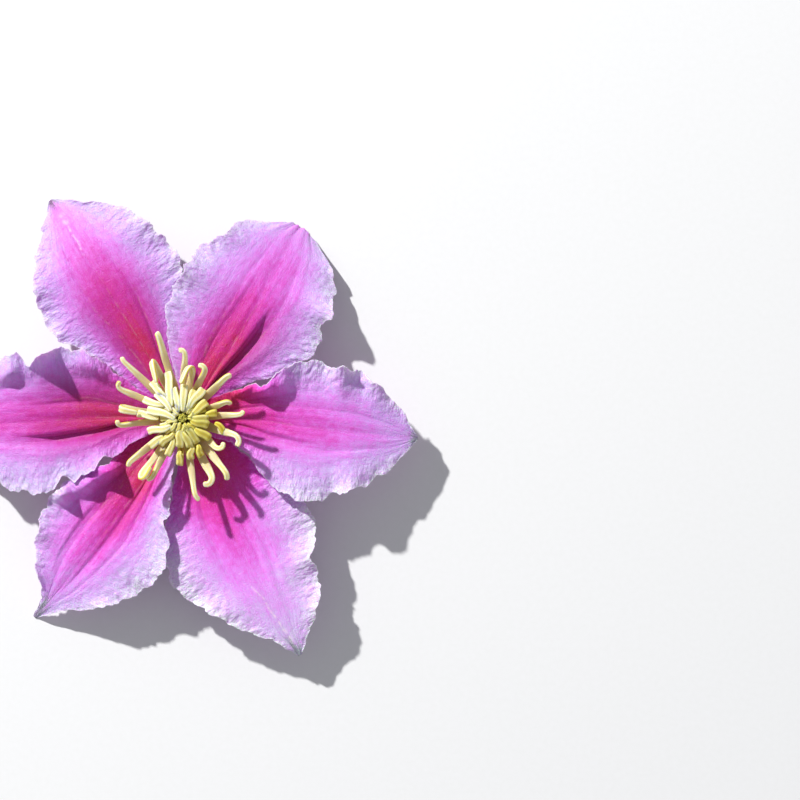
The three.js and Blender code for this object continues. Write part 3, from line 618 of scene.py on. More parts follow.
# each noise's size along and across the petal in mm, and its detail
NOISES = {
    "vein": (6.0, 0.55, 2), "crease": (0.8, 2.6, 2), "crinkle": (0.5, 1.3, 1), "cell": (0.3, 0.3, 1),
    "mottle": (1.5, 1.5, 2), "blotch": (6.0, 4.0, 2),
}


# %% The petals' material, and the petals
def petal_tissue():
    material, add = new_material("living_petal_tissue")
    sheet = add("Attribute", {}, "Vector", attribute_name="sheet")
    depth, reach, streak, under, edge, line, painted_flank_shade, painted_brightness = (
        add("Attribute", {}, "Fac", attribute_name=name)
        for name in ("depth", "reach", "streak", "under", "edge", "line", "painted_flank_shade", "painted_brightness")
    )
    noises = {}
    for key, (length, width, detail) in NOISES.items():
        scaled = add("VectorMath", [sheet, (1 / length, 1 / width, 1)], operation="MULTIPLY")
        noise = add("TexNoise", {"Vector": scaled, "Scale": 1.0, "Detail": detail, "Roughness": 0.55})
        noises[key] = add("Math", [noise, 0.5], operation="SUBTRACT")
    # a map range takes the value, its own range and the new one, which is 0 to 1 where it isn't given
    outer = add("MapRange", [reach, 0.35, 0.95], interpolation_type="SMOOTHSTEP")
    inner = add("Math", [1.0, outer], operation="SUBTRACT")

    # streaks along the veins on the bar, creases across on the outer part, mottling and grain all over
    on_bar, outside, wrinkled = (
        add("Math", [where, amount], operation="MULTIPLY")
        for where, amount in ((inner, 0.2), (outer, 0.2), (outer, 2.1))
    )
    level = depth
    for key, strength in (
        ("vein", on_bar), ("crease", outside), ("mottle", 0.26), ("blotch", 0.2), ("cell", 0.2),
    ):
        level = add("Math", [noises[key], strength, level], operation="MULTIPLY_ADD")
    upper = add("ValToRGB", [level])
    set_ramp(upper, PETAL_RAMP)
    # painted glints: pale specks on the cells that stand in for highlights
    painted_glint = add("MapRange", [noises["cell"], 0.04, 0.26, 0.0, 0.15])
    # the pale rim, partly the thin margin's own colour and partly a painted highlight
    pale_and_lit_edge = add("Math", [edge, 0.55], operation="MULTIPLY")
    # over the ramp go painted shade on the bar's flanks, painted glints, the pale vein lines, the pale rim
    # and the pale midrib streak
    for share, code in (
        (painted_flank_shade, PAINTED_FLANK_SHADE), (painted_glint, PAINTED_GLINT), (line, VEIN_LINE), (pale_and_lit_edge, PALE_AND_LIT_EDGE), (streak, STREAK),
    ):
        upper = add("Mix", {0: share, 6: upper, 7: code}, 2, data_type="RGBA")
    # the underside is paler, with a dusty flush on the midrib
    midrib = add("Math", [add("Math", [inner, 3.0], operation="POWER"), 0.7], operation="MULTIPLY")
    lower = add("Mix", {0: midrib, 6: UNDERSIDE, 7: UNDER_RIB}, 2, data_type="RGBA")
    lower = add("Mix", {0: 0.45, 6: lower, 7: upper}, 2, data_type="RGBA")
    colour = add("Mix", {0: under, 6: upper, 7: lower}, 2, data_type="RGBA")
    # painted light: the colour is scaled brighter or darker for how the light falls on this petal
    colour = add("VectorMath", {0: colour, "Scale": painted_brightness}, operation="SCALE")

    relief = add("Math", [noises["cell"], 0.8], operation="MULTIPLY")
    for key, strength in (("vein", 0.3), ("mottle", 0.5), ("crinkle", wrinkled)):
        relief = add("Math", [noises[key], strength, relief], operation="MULTIPLY_ADD")
    shader = add("BsdfPrincipled", {
        "Base Color": colour, "Roughness": add("MapRange", [noises["cell"], -0.2, 0.2, 0.36, 0.6]),
        "Normal": add("Bump", {"Strength": 0.8, "Distance": 0.2 * MM, "Height": relief}), "IOR": PETAL_IOR,
        "Subsurface Weight": 0.72, "Subsurface Radius": (1.0, 0.5, 0.95), "Subsurface Scale": GLOW_DEPTH,
        "Sheen Weight": 0.12, "Sheen Roughness": 0.5, "Specular IOR Level": 0.35,
    })
    add("OutputMaterial", [shader])
    return material


TISSUE = petal_tissue()
for number, petal in enumerate(PETALS):
    name = petal["name"]
    points, faces, attributes, loop_uvs = petal_blade(petal, number)
    piece = new_piece("blade_" + name, points, faces.tolist(), attributes, TISSUE, "petal_" + name)
    piece.data.uv_layers.new(name="OFBake").data.foreach_set("uv", loop_uvs.astype(np.float32).ravel())

# %% [markdown]
# ## The stamens
#
# Twenty flat, strap-like stamens have unfurled outwards, and many of them end in a hook. The inner ones are
# still folded back over the middle, so their ends look square. Each is a strap swept along a curve, with
# rounded edges and, on its upper part, a shallow groove between two pollen sacs. Seeded draws give each its
# own width, twist and shade.

# %% Paths and straps
CLAWS_TOP = CLAW_HEIGHT + 2 * CLAW_STEP + 0.3
RECEPTACLE_TOP = CLAWS_TOP + 0.15
CROWN_BOTTOM = RECEPTACLE_TOP + 0.3
CROWN_TOP = CROWN_BOTTOM + 3.4
STRAP_STEPS = 34
CAP_LENGTH = 0.42
ANTHER_EASE = 0.14
CAP_PLACES = np.array([0.6, 0.3, 0.1, 0.0])  # of the last rings, as shares of the cap from the tip
CURVE_STEPS = 24
FACE_RIM = 0.82


def polar(turn, radius, height):
    angle = math.radians(turn)
    return np.array([radius * math.cos(angle), radius * math.sin(angle), height])


def ring_faces(count, sides):
    """The faces between rings of points that follow one another."""
    here = np.arange(count * sides).reshape(count, sides)
    after = np.roll(here, -1, axis=1)
    return np.stack([here[:-1], after[:-1], after[1:], here[1:]], axis=-1).reshape(-1, 4).tolist()


def smooth_path(points, steps, cap=False):
    """A centripetal Catmull-Rom curve through the points, read at even distances, closer on a cap."""
    points = [np.asarray(p, float) for p in points]
    points = [2 * points[0] - points[1], *points, 2 * points[-1] - points[-2]]
    line = []
    for k in range(1, len(points) - 2):
        p0, p1, p2, p3 = points[k - 1:k + 3]
        d0, d1, d2 = (max(np.linalg.norm(b - a) ** 0.5, 1e-4) for a, b in ((p0, p1), (p1, p2), (p2, p3)))
        m1 = d1 * ((p1 - p0) / d0 - (p2 - p0) / (d0 + d1) + (p2 - p1) / d1)
        m2 = d1 * ((p2 - p1) / d1 - (p3 - p1) / (d1 + d2) + (p3 - p2) / d2)
        line += [cubic(u, p1, m1, p2, m2) for u in np.linspace(0, 1, CURVE_STEPS, endpoint=False)]
    line = np.array([*line, points[-2]])
    run = np.concatenate([[0], np.cumsum(np.linalg.norm(np.diff(line, axis=0), axis=1))])
    at = np.linspace(0, run[-1] - CAP_LENGTH * cap, steps + 1)
    if cap:
        at = np.concatenate([at, run[-1] - CAP_LENGTH * CAP_PLACES])
    return np.stack([np.interp(at, run, line[:, k]) for k in range(3)], axis=1)


def sweep(path, sideways, section, twist=0.0):
    """A closed skin along a path. section(share, rest in mm) gives its corners as [across, upward]."""
    strides = np.diff(path, axis=0)
    run = np.concatenate([[0], np.cumsum(np.linalg.norm(strides, axis=1))])
    strides /= np.linalg.norm(strides, axis=1, keepdims=True)
    tangents = np.concatenate([strides[:1], strides[:-1] + strides[1:], strides[-1:]])
    tangents /= np.linalg.norm(tangents, axis=1, keepdims=True)
    across = np.asarray(sideways, float)
    points, shares = [], run / run[-1]
    for centre, tangent, share in zip(path, tangents, shares):
        across = across - (across @ tangent) * tangent
        across /= np.linalg.norm(across)
        upward = np.cross(tangent, across)
        turn = twist * share
        side = math.cos(turn) * across + math.sin(turn) * upward
        rise = -math.sin(turn) * across + math.cos(turn) * upward
        points += [centre + a * side + b * rise for a, b in section(share, run[-1] * (1 - share))]
    sides = len(points) // len(path)
    ring = np.arange(sides)
    faces = ring_faces(len(path), sides) + [ring[::-1].tolist(), ((len(path) - 1) * sides + ring).tolist()]
    return np.array(points), faces, np.repeat(shares, sides)


def lathe(outline, sides):
    """A closed skin turned round the axis from [radius, height] points, in order round the profile."""
    angles = np.linspace(0, 2 * math.pi, sides, endpoint=False)
    points = np.array([[r * math.cos(a), r * math.sin(a), z] for r, z in outline for a in angles])
    return points, ring_faces(len(outline), sides)


# %% A strap's outline
# its upper right quarter, as shares of half its width and of half its thickness: a smooth strip on the lower
# part, and two swollen pollen sacs with a groove between them on the upper one
ACROSS = [1.0, 0.95, 0.84, 0.68, 0.52, 0.38, 0.22]
STRIP = [0.1, 0.34, 0.54, 0.68, 0.76, 0.81, 0.84]
SACS = [0.16, 0.46, 0.7, 0.86, 0.94, 0.95, 0.9]
STRIP_MIDDLE, SACS_MIDDLE = 0.85, 0.86


def outline_of(rise, middle):
    """All corners from the upper right quarter's, counterclockwise."""
    quarter = list(zip(ACROSS, rise))
    upper = quarter + [(0.0, middle)] + [(-a, b) for a, b in quarter[::-1]]
    return np.array(upper + [(-a, -b) for a, b in upper])


def strap_section(widths, thickness, anther_start, seed):
    """A strap's outline along its length, with a blunt rounded end, and its upper face and groove."""
    strip, sacs = outline_of(STRIP, STRIP_MIDDLE), outline_of(SACS, SACS_MIDDLE)
    places = np.linspace(0, 1, len(widths))

    def section(share, rest):
        into = max(1 - rest / CAP_LENGTH, 0)
        close = math.sqrt(max(1 - into ** 2, 0.01))
        width = np.interp(share, places, widths) * (0.25 + 0.75 * close)
        width *= 1 + 0.12 * wander(share * 4, seed)
        thick = thickness * (0.3 + 0.7 * close)
        swollen = smoothstep(anther_start, anther_start + ANTHER_EASE, share)
        return (strip + (sacs - strip) * swollen) * [width / 2, thick / 2]

    # where face falls to 0, on the side walls, the material gives a deeper yellow, partly the sacs' own
    # colour and partly painted shade for the gaps between the straps
    off_middle = np.abs(strip[:, 0])
    return section, 1 - smoothstep(FACE_RIM, 1, off_middle), 1 - smoothstep(0.15, 0.6, off_middle)


# %% Stamen tables
OPEN_WIDTHS = [1.1, 1.6, 1.8, 1.75, 1.55, 1.3, 1.1]
OVER_WIDTHS = [1.2, 1.5, 1.7, 1.75, 1.65, 1.5, 1.4, 1.4, 1.45, 1.5, 1.55, 1.5, 1.35, 1.1]
FOLDED_WIDTHS = [0.9, 1.15, 1.3, 1.45, 1.6, 1.65, 1.6, 1.4, 0.9]
CENTRE_WIDTHS = [0.7, 0.95, 1.1, 1.15, 1.0, 0.6]
STRAP_THICKNESS = 0.75
FOLD_HEIGHT = 9.8
FOLD_SLOPE = 0.32
FOLD_ROUND = 0.9
BEND = 0.5
DIP = 0.5
BOW = 0.4
ARCH = 0.04
# an outer stamen is rolled about its own length by up to ROLL degrees, one way towards the direction EDGE_ON
# and the other way opposite it
ROLL, EDGE_ON = 42, 40.5
# the direction towards which the folded stamens are painted palest, as painted light from the sunny upper
# left
PALEST_TURN = 145
ROOTS = {"outer": (1.9, 0.6), "inner": (1.75, 1.6), "centre": (1.65, 2.4)}
# direction, reach of the tip, its height over the claws, and the hook (turn in degrees, length, rise), or how
# it comes back over itself ("over", side, length, lean in degrees, how far beside itself)
OUTER_STAMENS = [
    (106.4, 18.2, 8.5, (25, 0.7, 0)), (136.0, 17.2, 7.5, (-30, 1.0, 0.2)),
    (154.5, 14.8, 7.0, (-100, 1.5, 0.6)), (170.4, 12.8, 7.0, ("over", LEFT, 3.3, -2, 0.35)),
    (186.2, 13.3, 6.5, (-95, 1.2, 0.6)), (219.8, 14.6, 6.5, (60, 0.9, -0.2)),
    (234.2, 14.7, 6.6, ("over", LEFT, 2.5, 7, 0.9)), (242.3, 14.0, 6.5, (-50, 1.2, -0.3)),
    (279.2, 16.2, 7.2, (35, 1.6, -0.4)), (295.8, 14.1, 6.6, (-110, 2.5, -0.3)),
    (308.3, 14.6, 7.2, (-40, 1.6, -0.4)), (319.5, 9.8, 8.3, (120, 2.0, 0.2)),
    (341.6, 12.0, 8.6, (-95, 2.3, -0.2)), (3.9, 12.2, 8.8, (60, 1.0, 0.5)),
    (20.0, 9.9, 8.8, (-70, 1.0, -0.5)), (43.0, 12.6, 8.9, (-30, 1.2, 0)), (65.4, 11.2, 8.4, (110, 1.8, 0.3)),
    (78.7, 10.4, 8.0, ("over", LEFT, 3.4, -13, 1.0)), (88.3, 13.8, 8.6, (100, 1.4, 0.2)),
    (117.4, 13.0, 7.8, ("over", LEFT, 4.0, -14, 0.45)),
]
# direction and reach of the fold, length of the fold, its lean in degrees
INNER_STAMENS = [
    (87, 6.8, 5.4, 0), (107, 6.4, 5.0, -7), (109, 10, 7.2, -14), (130.5, 9.8, 4.4, 4), (137, 7.4, 4.7, -10),
    (154, 8.9, 4.4, 12), (166.5, 7.4, 6.0, -6), (174, 9.3, 4.4, -10), (201, 7.6, 4.9, -9),
    (221, 8.9, 3.4, -8), (230.5, 7.1, 3.6, -13), (248, 8.3, 3.7, 5), (264, 5.9, 3.4, 0), (266, 9.7, 2.8, 0),
    (281.5, 8.6, 2.7, -21), (284, 6.0, 3.4, 18), (296, 8.7, 2.3, -15), (300.5, 5.8, 4.2, 12),
    (323.5, 6.9, 3.6, 4), (342, 10, 3.5, -24), (345, 5.4, 3.6, 0), (359, 5.2, 3.4, 0), (9, 7.0, 2.0, 0),
    (34, 5.9, 3.8, 10), (54.5, 7.3, 4.7, -1), (68.5, 6.2, 4.4, 0),
]
# the innermost rings stand round the styles: count, reach, length of the fold, first direction, rise
CENTRE_RINGS = [(18, 4.6, 3.0, 3, -0.9), (14, 3.2, 1.9, 14, -0.5)]
print(len(OUTER_STAMENS), "outer,", len(INNER_STAMENS), "folded,", sum(r[0] for r in CENTRE_RINGS), "inmost")


# %% Stamen paths
def open_path(turn, reach, tip, hook):
    root_radius, root_height = ROOTS["outer"]
    root = polar(turn, root_radius, CROWN_BOTTOM + root_height)
    end = polar(turn, reach, CLAWS_TOP + tip)
    points = [root]
    for share in (0.3, 0.65):
        point = root + (end - root) * share
        point[2] += ARCH * (reach - root_radius) * math.sin(math.pi * share)
        points.append(point)
    points.append(end)
    if hook[0] == "over":
        _, side, length, lean, beside = hook
        back = polar(turn + 180 + lean, length, 0)

        def above(share, outwards):
            return end + polar(turn + 90 * side, beside * share, 2 * BEND * share) + polar(turn, outwards, 0)

        points += [above(0.5, BEND), above(1, 0), above(1, 0) + back]
    else:
        bend, length, rise = hook
        halfway = end + polar(turn + bend / 2, length / 2, rise / 2)
        points += [halfway, halfway + polar(turn + bend, length / 2, rise / 2)]
    return smooth_path(points, STRAP_STEPS, cap=True)


def folded_path(turn, reach, fold, lean, root, rise, bow):
    root_radius, root_height = root
    elbow = CLAWS_TOP + FOLD_HEIGHT - FOLD_SLOPE * reach + rise
    bend = polar(turn, reach - FOLD_ROUND, elbow + 0.25)
    inward, back = turn + 180 + lean, fold - FOLD_ROUND
    return smooth_path([
        polar(turn, root_radius, CROWN_BOTTOM + root_height),
        polar(turn, 0.62 * reach + 0.38 * root_radius, elbow - 3.4),
        polar(turn, reach - 0.15, elbow - 0.9),
        polar(turn, reach - 0.1, elbow - 0.05),
        bend,
        bend + polar(inward, 0.55 * back, FOLD_SLOPE * 0.55 * back) + polar(turn + 90, bow, 0),
        bend + polar(inward, back, FOLD_SLOPE * back - DIP),
    ], STRAP_STEPS, cap=True)


# %% Building the stamens
class Skin:
    """Gathers the skins of one piece, with their attributes."""

    def __init__(self, *keys):
        self.points, self.faces, self.count = [], [], 0
        self.attributes = {key: [] for key in keys}

    def take(self, points, faces, **values):
        self.faces += [[corner + self.count for corner in face] for face in faces]
        self.points.append(points)
        self.count += len(points)
        for key, gathered in self.attributes.items():
            gathered.append(np.broadcast_to(values[key], len(points)))

    def result(self):
        joined = {key: np.concatenate(values) for key, values in self.attributes.items()}
        return np.concatenate(self.points), self.faces, joined


def sunward_paleness(turn):
    """Painted light: how pale the pollen sacs are made, palest towards the sunny upper left and yellowest
    opposite it.
    """
    return 0.52 + 0.46 * math.cos(math.radians(turn - PALEST_TURN))


def build_stamens():
    draw = np.random.default_rng(7)
    skin = Skin("face", "groove", "anther", "own", "cap")

    def take_strap(path, turn, widths, anther_start, pale, tinted=None, roll=0.0):
        grown = np.array(widths) * draw.uniform(0.88, 1.12)
        section, face, groove = strap_section(grown, STRAP_THICKNESS, anther_start, turn)
        across = polar(turn + 90, math.cos(roll), math.sin(roll))
        points, faces, shares = sweep(path, across, section, draw.uniform(-0.3, 0.3))
        length = np.linalg.norm(np.diff(path, axis=0), axis=1).sum()
        tint = anther_start if tinted is None else tinted
        anther = smoothstep(tint, tint + ANTHER_EASE, shares)
        cap = smoothstep(0.75, 0.3, (1 - shares) * length) * (tinted is None)
        face, groove = np.tile(face, len(path)), np.tile(groove, len(path))
        own = np.clip(pale + draw.uniform(-0.15, 0.15), 0, 1)
        skin.take(points, faces, face=face, groove=groove, anther=anther, own=own, cap=cap)

    for turn, reach, tip, hook in OUTER_STAMENS:
        over = hook[0] == "over"
        roll = 0 if over else math.radians(ROLL) * math.cos(math.radians(turn - EDGE_ON))
        widths, start = (OVER_WIDTHS, 0.52) if over else (OPEN_WIDTHS, 0.66)
        take_strap(open_path(turn, reach, tip, hook), turn, widths, start, 0.85, roll=roll)
    for turn, reach, fold, lean in INNER_STAMENS:
        bow = draw.uniform(-BOW, BOW)
        path = folded_path(turn, reach, fold, lean, ROOTS["inner"], draw.uniform(-0.25, 0.25), bow)
        # the folded stamens are painted paler towards the sunny upper left, as painted light
        take_strap(path, turn, FOLDED_WIDTHS, 0.42, sunward_paleness(turn), 0.1)
    for count, ring_reach, fold, start, rise in CENTRE_RINGS:
        for i in range(count):
            turn = start + (i + 0.4 * (draw.uniform() - 0.5)) * 360 / count
            reach = ring_reach * draw.uniform(0.92, 1.08)
            bow = draw.uniform(-BOW, BOW)
            path = folded_path(turn, reach, fold, 0, ROOTS["centre"], rise + draw.uniform(-0.3, 0.3), bow)
            # the inmost ones are painted paler towards the sunny upper left too, a little less, as painted
            # light
            take_strap(path, turn, CENTRE_WIDTHS, 0.3, 0.7 * sunward_paleness(turn), 0.05)
    crown = [
        (1.25, CROWN_BOTTOM), (2.7, CROWN_BOTTOM), (2.7, CROWN_BOTTOM + 1.2), (2.4, CROWN_BOTTOM + 2.3),
        (1.9, CROWN_TOP), (1.25, CROWN_TOP), (1.25, CROWN_BOTTOM),
    ]
    points, faces = lathe(crown, 48)
    skin.take(points, faces, face=0.3, groove=0.0, anther=0.8, own=0.5, cap=0.0)
    return skin.result()


# %% [markdown]
# ## The stamens' finish
#
# A filament is a watery, cream-white strap. Its upper part is covered by two pollen sacs, which show as pale
# bands with a darker line in the groove between them. Their side walls are a deeper yellow, partly their own
# colour and partly painted shade for the gaps between the straps. Each strap gets a seeded tint of cream or
# yellow of its own, and the folded ones are painted paler towards the sunny upper left, which is painted
# light. So the colour is mixed by how far up the strap, how near the groove and the side walls, and how pale
# a point is painted. Pollen is matt, so the stamens mirror little.

# %% Filament and pollen
def filament():
    material, add = new_material("filament_and_pollen")
    face, groove, anther, own, cap = (
        add("Attribute", {}, "Fac", attribute_name=name)
        for name in ("face", "groove", "anther", "own", "cap")
    )
    place = add("TexCoord", {}, "Object")
    grain = add("TexNoise", {"Vector": place, "Scale": 1 / (0.4 * MM), "Detail": 2.0})
    speck = add("MapRange", [grain, 0.3, 0.7, 0.0, 0.14])
    mixed = {}
    # own is each strap's seeded tint, and for the folded ones also painted light, paler towards the sunny
    # upper left
    for name, share, first, second in (
        ("band", own, "#F0E070", "#FFFDE8"),
        ("line", own, "#CDB936", "#F2E9A8"),
        ("grooved", groove, "band", "line"),
        ("capped", cap, "grooved", "#F8F0C4"),
        # the deeper yellow on the side walls, where face is low, is partly the sacs' own colour and partly
        # painted shade
        ("sac", face, "#E4D258", "capped"),
        ("strap", own, "#E6D8B0", "#E0D2A8"),
        ("both", anther, "strap", "sac"),
        ("specked", speck, "both", "#C9B94A"),
    ):
        ends = {6: mixed.get(first, first), 7: mixed.get(second, second)}
        mixed[name] = add("Mix", {0: share, **ends}, 2, data_type="RGBA")
    shader = add("BsdfPrincipled", {
        "Base Color": mixed["specked"], "Roughness": add("MapRange", [anther, 0.0, 1.0, 0.42, 0.46]),
        "Normal": add("Bump", {"Strength": 0.4, "Distance": 0.08 * MM, "Height": grain}), "IOR": 1.4,
        "Subsurface Weight": 0.7, "Subsurface Radius": (1.0, 0.85, 0.25), "Subsurface Scale": 0.9 * MM,
        "Specular IOR Level": 0.12,
    })
    add("OutputMaterial", [shader])
    return material


points, faces, attributes = build_stamens()
new_piece("stamen_brush", points, faces, attributes, filament(), "stamens")

# %% [markdown]
# ## The styles
#
# In the very middle stands a tuft of fine, yellow-green styles, about 2 mm wide. Hair curves would be lost in
# an export, so each style is a thin tapered strand of its own on a small dome. It is soft, slightly downy
# tissue, which gives a matt surface with a faint sheen and a little glow.

# %% Styles
STYLE_COUNT = 46
STYLE_LENGTH = 5.6
STYLE_RADIUS = 0.19
STYLE_SIDES = 6
STYLE_ROOT = 1.2
TUFT_RADIUS = 0.66
GOLDEN_RATIO = 1.618034


def build_styles():
    draw = np.random.default_rng(3)
    skin = Skin("share", "own")
    top = CROWN_TOP + 1.0
    points, faces = lathe([
        (0.02, CROWN_BOTTOM), (0.95, CROWN_BOTTOM), (0.95, top - 0.6), (0.85, top - 0.2), (0.5, top),
        (0.02, top + 0.1),
    ], 32)
    skin.take(points, faces, share=0.1, own=0.5)
    corners = np.linspace(0, 2 * math.pi, STYLE_SIDES, endpoint=False)

    def section(share, rest):
        size = STYLE_RADIUS * (1 - 0.3 * share)
        return np.stack([size * np.cos(corners), size * np.sin(corners)], axis=1)

    for i in range(STYLE_COUNT):
        turn = i * 360 / GOLDEN_RATIO
        radius = TUFT_RADIUS * 0.8 * math.sqrt((i + 0.5) / STYLE_COUNT)
        root = polar(turn, radius, top - STYLE_ROOT)
        spread = 1.55 * radius + draw.uniform(0.0, 0.15)
        end = polar(turn, spread, top - STYLE_ROOT + STYLE_LENGTH * draw.uniform(0.88, 1.0))
        middle = (root + end) / 2 + polar(draw.uniform(0, 360), 0.12, 0)
        path = smooth_path([root, middle, end], 10)
        points, faces, shares = sweep(path, polar(turn + 90, 1, 0), section)
        skin.take(points, faces, share=shares, own=draw.uniform())
    return skin.result()


def style_tissue():
    material, add = new_material("style_tissue")
    share, own = (add("Attribute", {}, "Fac", attribute_name=name) for name in ("share", "own"))
    ramp = add("ValToRGB", [share])
    set_ramp(ramp, [(0.0, "#D8CA3C"), (0.6, "#EADC48"), (0.9, "#F4E974"), (1.0, "#DCCF58")])
    shader = add("BsdfPrincipled", {
        "Base Color": add("Mix", {0: own, 6: ramp, 7: "#CFC850"}, 2, data_type="RGBA"),
        "Roughness": 0.6, "IOR": 1.4, "Sheen Weight": 0.3, "Sheen Roughness": 0.5,
        "Subsurface Weight": 0.6, "Subsurface Radius": (1.0, 0.85, 0.3), "Subsurface Scale": 1.0 * MM,
    })
    add("OutputMaterial", [shader])
    return material


points, faces, attributes = build_styles()
new_piece("style_tuft", points, faces, attributes, style_tissue(), "pistils")

# %% [markdown]
# ## The stalk
#
# The stalk and the knob that the petals stand on are one grown piece. A clematis stalk is round with fine
# lengthwise ridges, green with a purplish flush where the sun reaches it, and covered in a short pale down.
# It bends under the bloom and lies along the surface, and its cut end is flat and shows the pale pith.

# %% Stalk
STALK_RADIUS = 1.1
STALK_HEADING = -62
STALK_REST = STALK_RADIUS * math.cos(math.pi / 8)
STALK_ROUTE = [
    (0, CLAW_HEIGHT - 1.2), (0.2, CLAW_HEIGHT - 2.7), (1.7, CLAW_HEIGHT - 4.8), (4.6, 1.8), (9, 1.15),
    (13, STALK_REST), (20, STALK_REST), (30, STALK_REST), (38, STALK_REST),
]
STALK_SIDES = 48
STALK_STEPS = 160
STALK_RIDGES = 8
RIDGE_RELIEF = 0.07
# the cut end's rings: size, how far they are sunk in, and how much of the cut's colour they show
CUT_RINGS = [(1, 0, 0.3), (0.9, 0, 0.6), (0.55, 0, 0.8), (0.5, 0.12, 1.0), (0.02, 0.15, 1.0)]


def build_stalk():
    skin = Skin("ridge", "cut")
    path = smooth_path([polar(STALK_HEADING, r, z) for r, z in STALK_ROUTE], STALK_STEPS)
    angles = np.linspace(0, 2 * math.pi, STALK_SIDES, endpoint=False)
    ridge = np.cos(STALK_RIDGES * angles)

    def section(share, rest):
        size = STALK_RADIUS - RIDGE_RELIEF * (1 - ridge) / 2
        return np.stack([size * np.cos(angles), size * np.sin(angles)], axis=1)

    points, faces, _ = sweep(path, polar(STALK_HEADING + 90, 1, 0), section)
    points[:, 2] = np.maximum(points[:, 2], 0)
    skin.take(points, faces[:-1], ridge=np.tile(ridge, len(path)), cut=0.0)
    last = points[-STALK_SIDES:]
    centre = last.mean(axis=0)
    inward = path[-2] - path[-1]
    inward /= np.linalg.norm(inward)
    rings = [centre + (last - centre) * size + sunk * inward for size, sunk, _ in CUT_RINGS]
    middle = (len(rings) - 1) * STALK_SIDES + np.arange(STALK_SIDES)
    skin.take(
        np.concatenate(rings), ring_faces(len(rings), STALK_SIDES) + [middle.tolist()], ridge=0.0,
        cut=np.repeat([shown for _, _, shown in CUT_RINGS], STALK_SIDES),
    )
    points, faces = lathe([
        (0.02, CLAW_HEIGHT - 2.3), (0.9, CLAW_HEIGHT - 2.2), (1.35, CLAW_HEIGHT - 1.4),
        (2.0, CLAW_HEIGHT - 0.9), (2.5, CLAW_HEIGHT - 0.4), (2.5, RECEPTACLE_TOP - 0.2),
        (2.35, RECEPTACLE_TOP), (0.02, RECEPTACLE_TOP),
    ], STALK_SIDES)
    skin.take(points, faces, ridge=0.0, cut=0.0)
    return skin.result()


def stalk_tissue():
    material, add = new_material("downy_green_stalk")
    ridge, cut = (add("Attribute", {}, "Fac", attribute_name=name) for name in ("ridge", "cut"))
    place = add("TexCoord", {}, "Object")
    grain = add("TexNoise", {"Vector": place, "Scale": 1 / (1.6 * MM), "Detail": 4.0})
    down = add("TexNoise", {"Vector": place, "Scale": 1 / (0.25 * MM), "Detail": 1.0})
    pith = add("ValToRGB", [cut])
    set_ramp(pith, [(0.0, "#8A9A56"), (0.5, "#A9B676"), (0.8, "#DCDDB4"), (1.0, "#EFEBD2")])
    colour = "#7F9148"
    for share, laid_over in (
        (add("MapRange", [grain, 0.35, 0.65, 0.1, 0.75]), "#7C5A4E"),
        (add("MapRange", [ridge, -1.0, 1.0, 0.0, 0.3]), "#A8A76C"),
        (add("MapRange", [cut, 0.02, 0.2]), pith),
    ):
        colour = add("Mix", {0: share, 6: colour, 7: laid_over}, 2, data_type="RGBA")
    shader = add("BsdfPrincipled", {
        "Base Color": colour, "Roughness": 0.55, "IOR": 1.45, "Sheen Weight": 0.35, "Sheen Roughness": 0.4,
        "Normal": add("Bump", {"Strength": 0.5, "Distance": 0.06 * MM, "Height": down}),
    })
    add("OutputMaterial", [shader])
    return material


points, faces, attributes = build_stalk()
new_piece("stalk_and_knob", points, faces, attributes, stalk_tissue(), "stem")

# %% [markdown]
# ## Floor and light
#
# A plain pale floor, a softbox 38 degrees high on the upper left, where the sun stood in the photograph, and
# an even sky of soft fill. The softbox looks 2 degrees wide from the bloom, so that the stamens' shadows stay
# crisp.

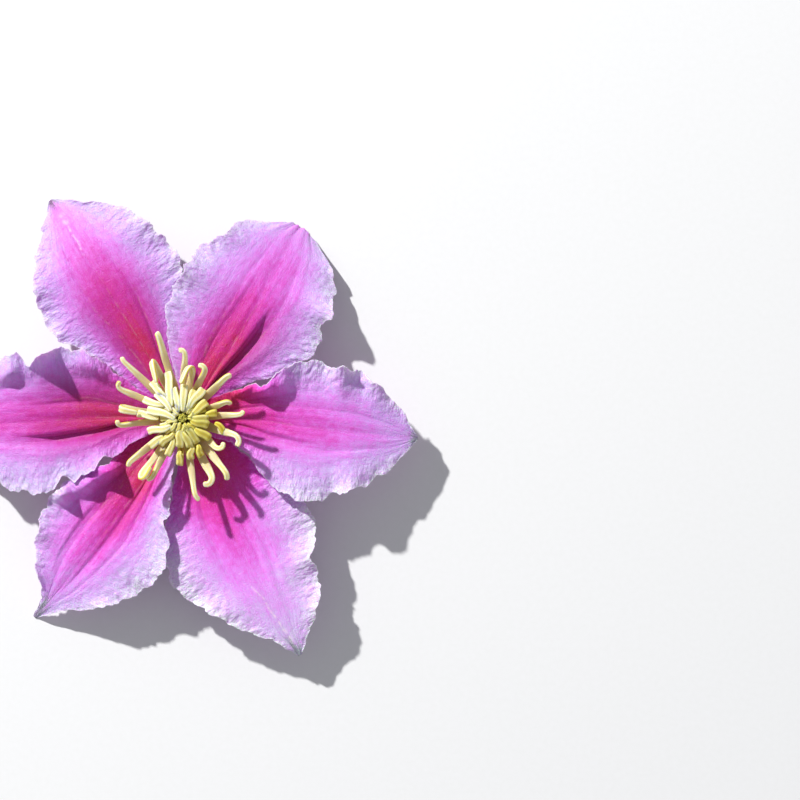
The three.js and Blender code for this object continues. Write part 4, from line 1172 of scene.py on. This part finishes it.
# %% Floor and light
FLOOR_SIDE = 3.0  # m, like the softbox's distance and size below
FLOOR_DROP = 0.02 * MM
half = FLOOR_SIDE / 2
floor_mesh = bpy.data.meshes.new("floor")
floor_corners = [(-half, -half, 0), (half, -half, 0), (half, half, 0), (-half, half, 0)]
floor_mesh.from_pydata(floor_corners, [], [(0, 1, 2, 3)])
floor = bpy.data.objects.new("floor", floor_mesh)
floor.location.z = -FLOOR_DROP
bpy.context.scene.collection.objects.link(floor)
paper, add = new_material("pale_matt_paper")
fibre = add("TexNoise", {"Vector": add("TexCoord", {}, "Object"), "Scale": 1 / (1.2 * MM), "Detail": 2.0})
fibred = add("Mix", {0: fibre, 6: "#F1F1EF", 7: "#F5F5F4"}, 2, data_type="RGBA")
add("OutputMaterial", [add("BsdfPrincipled", {"Base Color": fibred, "Roughness": 0.9})])
floor_mesh.materials.append(paper)
floor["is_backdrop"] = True

SUN_ELEVATION = 38
SUN_BEARING = (-0.65, 0.76)
SOFTBOX_DISTANCE = 1.6
SOFTBOX_SIZE = 0.06
SOFTBOX_POWER = 32.5
FILL = 0.35
softbox = bpy.data.lights.new("softbox", "AREA")
softbox.shape = "DISK"
softbox.size = SOFTBOX_SIZE
softbox.energy = SOFTBOX_POWER
box = bpy.data.objects.new("softbox", softbox)
height = math.radians(SUN_ELEVATION)
flat = math.cos(height) / math.hypot(*SUN_BEARING)
direction = np.array([SUN_BEARING[0] * flat, SUN_BEARING[1] * flat, math.sin(height)])
box.location = (direction * SOFTBOX_DISTANCE).tolist()
box.rotation_mode = "QUATERNION"
box.rotation_quaternion = box.location.to_track_quat("Z", "Y")
bpy.context.scene.collection.objects.link(box)
world = bpy.data.worlds.new("studio")
world.use_nodes = True
background = world.node_tree.nodes["Background"]
background.inputs["Color"].default_value = linear("#F4F6FF")
background.inputs["Strength"].default_value = FILL
bpy.context.scene.world = world
bpy.context.scene.view_settings.view_transform = "Standard"

# %% [markdown]
# ## Size
#
# The boxes of the imported and of the dressed model are both printed in mm.

# %% Size
visual_box = [list(corner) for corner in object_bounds()]
print("visual box in mm:", [[round(x / MM, 2) for x in corner] for corner in visual_box])
